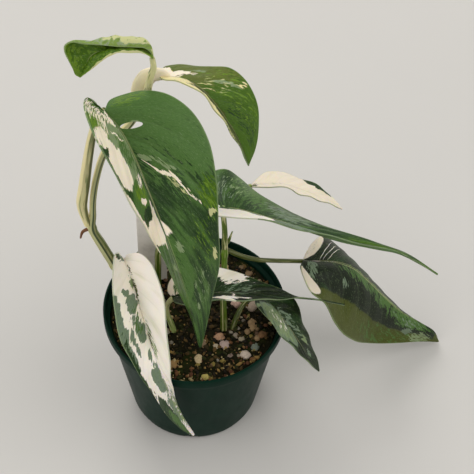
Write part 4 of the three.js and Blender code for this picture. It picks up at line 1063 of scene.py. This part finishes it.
class VINE_OT_mix(bpy.types.Operator):
    """Add the potting mix with its crumbs and pebbles"""
    bl_idname = "vine.mix"
    bl_label = "Potting mix"

    def execute(self, context):
        sizes = context.scene.vine_mix
        self.bed(sizes)
        self.pebbles(sizes)
        self.crumbs(sizes)
        return {"FINISHED"}

    def bed(self, sizes):
        """The body of the mix. The grid's rows run from the middle of the top out to the wall, and down it
        to the middle of the underside."""
        piece, across, along = new_grid("mix_bed", 150, 110)
        angle = math.pi * across
        top_share, taper, drop, bottom = 0.82, 0.0105, 0.0005, 0.0030
        down = np.clip((along - top_share) / (1 - top_share), 0, 1)
        radius = np.where(down > 0, MIX_EDGE - down * taper, along / top_share * MIX_EDGE)
        radius = np.where(along > 0.999, 0.0, radius)
        x, y = radius * np.cos(angle), radius * np.sin(angle)
        z = np.full_like(x, sizes.surface)
        for i in np.nonzero(down <= 0)[0]:
            z[i] += ground_height(x[i], y[i])
        z = np.where(down > 0, sizes.surface - drop - down * (sizes.surface - bottom), z)
        place_vertices(piece, np.stack([x, y, z], 1) / MM)
        edit(piece, lambda: bpy.ops.mesh.remove_doubles(threshold=1e-7),
             lambda: bpy.ops.mesh.normals_make_consistent(inside=False))
        smooth(piece, 60)
        piece.data.materials.append(self.earth(sizes))
        hand_over(piece, "potting_mix", "potting_mix")

    def earth(self, sizes):
        material, tree, shader = new_material("damp mix", 0.9)
        place = add(tree, "ShaderNodeTexCoord").outputs["Object"]
        lumps = grain(tree, place, 260.0, 6.0)
        flecks = grain(tree, place, 700.0, 2.0)
        plain = tuple(sizes.colour)
        darker = (*(c * 0.45 for c in plain[:3]), 1)
        colour = mixed(tree, ramp(tree, lumps, 0.35, 0.75), darker, plain)
        colour = mixed(tree, times(tree, ramp(tree, flecks, 0.66, 0.74), 0.7), colour, linear("7A5E3E"))
        moss = ramp(tree, grain(tree, place, 60.0, 4.0), 0.50, 0.62)
        colour = mixed(tree, times(tree, moss, 0.6), colour, linear("26300C"))
        shader.inputs["Specular IOR Level"].default_value = 0.1
        tree.links.new(colour, shader.inputs["Base Color"])
        bump(tree, shader, lumps, 0.0012, 0.9)
        return material

    def painted(self, name, rough, distance):
        """Stone or bark whose colour is that of each piece, held in its paint attribute."""
        material, tree, shader = new_material(name, rough)
        tint = add(tree, "ShaderNodeAttribute", attribute_name="paint").outputs["Color"]
        place = add(tree, "ShaderNodeTexCoord").outputs["Object"]
        speckle = grain(tree, place, 900.0, 4.0)
        darker = mixed(tree, ramp(tree, speckle, 0.30, 0.62), linear("3A3028"), tint)
        tree.links.new(mixed(tree, 0.72, darker, tint), shader.inputs["Base Color"])
        shader.inputs["Specular IOR Level"].default_value = 0.15
        bump(tree, shader, speckle, distance, 0.5)
        return material

    def paint(self, piece, code, shade=1.0):
        layer = piece.data.color_attributes.new("paint", "FLOAT_COLOR", "POINT")
        colour = [c * shade for c in linear(code)[:3]] + [1.0]
        layer.data.foreach_set("color", colour * len(piece.data.vertices))

    def scattered(self, source, widest):
        """A random place, and its distance from the middle."""
        reach, angle = widest * math.sqrt(source.random()), source.random() * 2 * math.pi
        return reach * math.cos(angle), reach * math.sin(angle), reach

    def pebbles(self, sizes):
        """The pebbles of the photograph, and small stones strewn among them."""
        source = random.Random(4)
        made = []
        for x, y, half, code in PEBBLES:
            piece = stone(x * MM, y * MM, sizes.surface + half * MM * 0.10, half * MM, source, 3)
            self.paint(piece, code)
            made.append(piece)
        smallest, span, widest = 0.0007, 0.0013, 0.0445
        while len(made) < len(PEBBLES) + sizes.stones:
            x, y, _ = self.scattered(source, widest)
            half = smallest + span * source.random() ** 2.5
            piece = stone(x, y, sizes.surface + ground_height(x, y) + half * 0.2, half, source, 2)
            self.paint(piece, source.choice(PEBBLE_COLOURS), 0.55 + 0.5 * source.random())
            made.append(piece)
        whole = join(made, "pebbles")
        smooth(whole, 70)
        whole.data.materials.append(self.painted("pebble", 0.65, 0.00015))
        hand_over(whole, "potting_mix")

    def crumbs(self, sizes):
        """Crumbs of bark and peat, with grit among them and most of it near the front wall."""
        source = random.Random(9)
        shape = bmesh.new()
        bmesh.ops.create_icosphere(shape, subdivisions=1, radius=1)
        master = [v.co.copy() for v in shape.verts]
        faces = [[v.index for v in f.verts] for f in shape.faces]
        shape.free()
        corners, sides, paints = [], [], []
        bark, grit = ([linear(code)[:3] for code in codes] for codes in (BARK_COLOURS, GRIT_COLOURS))
        smallest, span, widest, uneven = 0.00035, 0.0010, 0.0468, 0.35
        for _ in range(sizes.crumbs):
            x, y, reach = self.scattered(source, widest)
            half = smallest + span * source.random() ** 2.2
            length, rise = 1 + 1.2 * source.random(), 0.5 + 0.4 * source.random()
            stretch = Matrix.Diagonal((half * length, half, half * rise))
            turn = Matrix.Rotation(source.random() * math.pi, 3, "Z")
            tip = Matrix.Rotation(1.2 * (source.random() - 0.5), 3, "Y")
            middle = Vector((x, y, sizes.surface + ground_height(x, y) + half * 0.35))
            start = len(corners)
            for co in master:
                rough = co * (1 + uneven * (source.random() - 0.5))
                corners.append(middle + turn @ tip @ stretch @ rough)
            sides += [[start + i for i in face] for face in faces]
            by_the_wall = y < -0.022 and reach > 0.034
            gritty = by_the_wall and source.random() < 0.5 or source.random() < 0.09
            paints += [source.choice(grit if gritty else bark)] * len(master)
        mesh = bpy.data.meshes.new("crumbs")
        mesh.from_pydata(corners, [], sides)
        layer = mesh.color_attributes.new("paint", "FLOAT_COLOR", "POINT")
        layer.data.foreach_set("color", [c for paint in paints for c in (*paint, 1.0)])
        piece = bpy.data.objects.new("crumbs", mesh)
        bpy.context.scene.collection.objects.link(piece)
        smooth(piece, 60)
        mesh.materials.append(self.painted("bark crumb", 0.85, 0.0002))
        hand_over(piece, "potting_mix")


class VINE_OT_label(bpy.types.Operator):
    """Add the blank plant label"""
    bl_idname = "vine.label"
    bl_label = "Plant label"

    def execute(self, context):
        low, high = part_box("plant_label")
        clear_selection()
        bpy.ops.mesh.primitive_cube_add(size=1)
        piece = named(bpy.context.object, "label_strip")
        size = high - low
        piece.data.transform(Matrix.Translation((low + high) / 2) @ Matrix.Diagonal((*size, 1)))
        edit(piece, lambda: bpy.ops.mesh.subdivide(number_cuts=12))
        tip, tip_width, middle = 0.009, 0.12, (low.x + high.x) / 2
        for vertex in piece.data.vertices:
            above = vertex.co.z - low.z
            if above < tip:
                narrowed = tip_width + (1 - tip_width) * above / tip
                vertex.co.x = middle + (vertex.co.x - middle) * narrowed
        finish_modifier(piece, "BEVEL", width=0.00018, segments=2, limit_method="ANGLE")
        smooth(piece, 40)
        material, tree, shader = new_material("white label plastic", 0.42)
        place = add(tree, "ShaderNodeTexCoord").outputs["Object"]
        dust = grain(tree, place, 120.0, 4.0)
        colour = mixed(tree, ramp(tree, dust, 0.45, 0.8), linear("DCD6CE"), linear("C4BEB6"))
        tree.links.new(colour, shader.inputs["Base Color"])
        bump(tree, shader, grain(tree, place, 1500.0), 0.00004, 0.5)
        piece.data.materials.append(material)
        hand_over(piece, "label", "plant_label")
        return {"FINISHED"}


class VINE_OT_stage(bpy.types.Operator):
    """Add the floor, the lights and the camera"""
    bl_idname = "vine.stage"
    bl_label = "Stage"

    def execute(self, context):
        settings = context.scene.vine_stage
        clear_selection()
        bpy.ops.mesh.primitive_plane_add(size=6)
        floor = named(bpy.context.object, "floor")
        floor.data.materials.append(floor_material(tuple(settings.floor)))
        for name, (place, size, colour) in LAMPS.items():
            self.lamp(name, place, size, getattr(settings, name), colour)
        world = bpy.data.worlds.new("soft room")
        world.use_nodes = True
        background = world.node_tree.nodes["Background"].inputs
        background["Color"].default_value = ROOM_COLOUR
        background["Strength"].default_value = settings.room
        context.scene.world = world
        context.scene.view_settings.view_transform = "Standard"
        self.camera(context)
        return {"FINISHED"}

    def lamp(self, name, place, size, power, colour):
        clear_selection()
        bpy.ops.object.light_add(type="AREA", location=place)
        lamp = bpy.context.object
        lamp.name = name
        lamp.data.size = size
        lamp.data.energy = power
        lamp.data.color = colour
        lamp.rotation_euler = (LAMP_AIM - Vector(place)).to_track_quat("-Z", "Y").to_euler()

    def camera(self, context):
        pitch, roll = math.radians(CAMERA_TILT), math.radians(CAMERA_ROLL)
        forward = Vector((0, math.cos(pitch), -math.sin(pitch)))
        level = Vector((1, 0, 0))
        upright = level.cross(forward)
        right = level * math.cos(roll) + upright * math.sin(roll)
        up = upright * math.cos(roll) - level * math.sin(roll)
        clear_selection()
        bpy.ops.object.camera_add()
        camera = bpy.context.object
        camera.data.sensor_width = SENSOR_WIDTH
        camera.data.lens = SENSOR_WIDTH * FOCAL_PIXELS / FRAME_PIXELS
        turn = Matrix((right, up, -forward)).transposed().to_4x4()
        camera.matrix_world = Matrix.Translation(CAMERA_PLACE) @ turn
        context.scene.camera = camera


class VINE_PT_panel(bpy.types.Panel):
    """Lists the pieces of the plant"""
    bl_idname = "VINE_PT_panel"
    bl_label = "Potted vine"
    bl_space_type = "VIEW_3D"
    bl_region_type = "UI"
    bl_category = "Vine"

    def draw(self, context):
        for operator in OPERATORS:
            self.layout.operator(operator.bl_idname)
        for key in GROUPS:
            box = self.layout.box()
            for name in getattr(context.scene, key).__annotations__:
                box.prop(getattr(context.scene, key), name)


OPERATORS = (VINE_OT_pot, VINE_OT_mix, VINE_OT_label, VINE_OT_stalks, VINE_OT_leaves, VINE_OT_stage)


def register():
    for item in (*GROUPS.values(), *OPERATORS, VINE_PT_panel):
        bpy.utils.register_class(item)
    for key, kind in GROUPS.items():
        setattr(bpy.types.Scene, key, bpy.props.PointerProperty(type=kind))


def unregister():
    for key in GROUPS:
        delattr(bpy.types.Scene, key)
    for item in reversed((*GROUPS.values(), *OPERATORS, VINE_PT_panel)):
        bpy.utils.unregister_class(item)


def main():
    register()
    for operator in OPERATORS:
        group, name = operator.bl_idname.split(".")
        getattr(getattr(bpy.ops, group), name)()


if __name__ == "__main__":
    main()
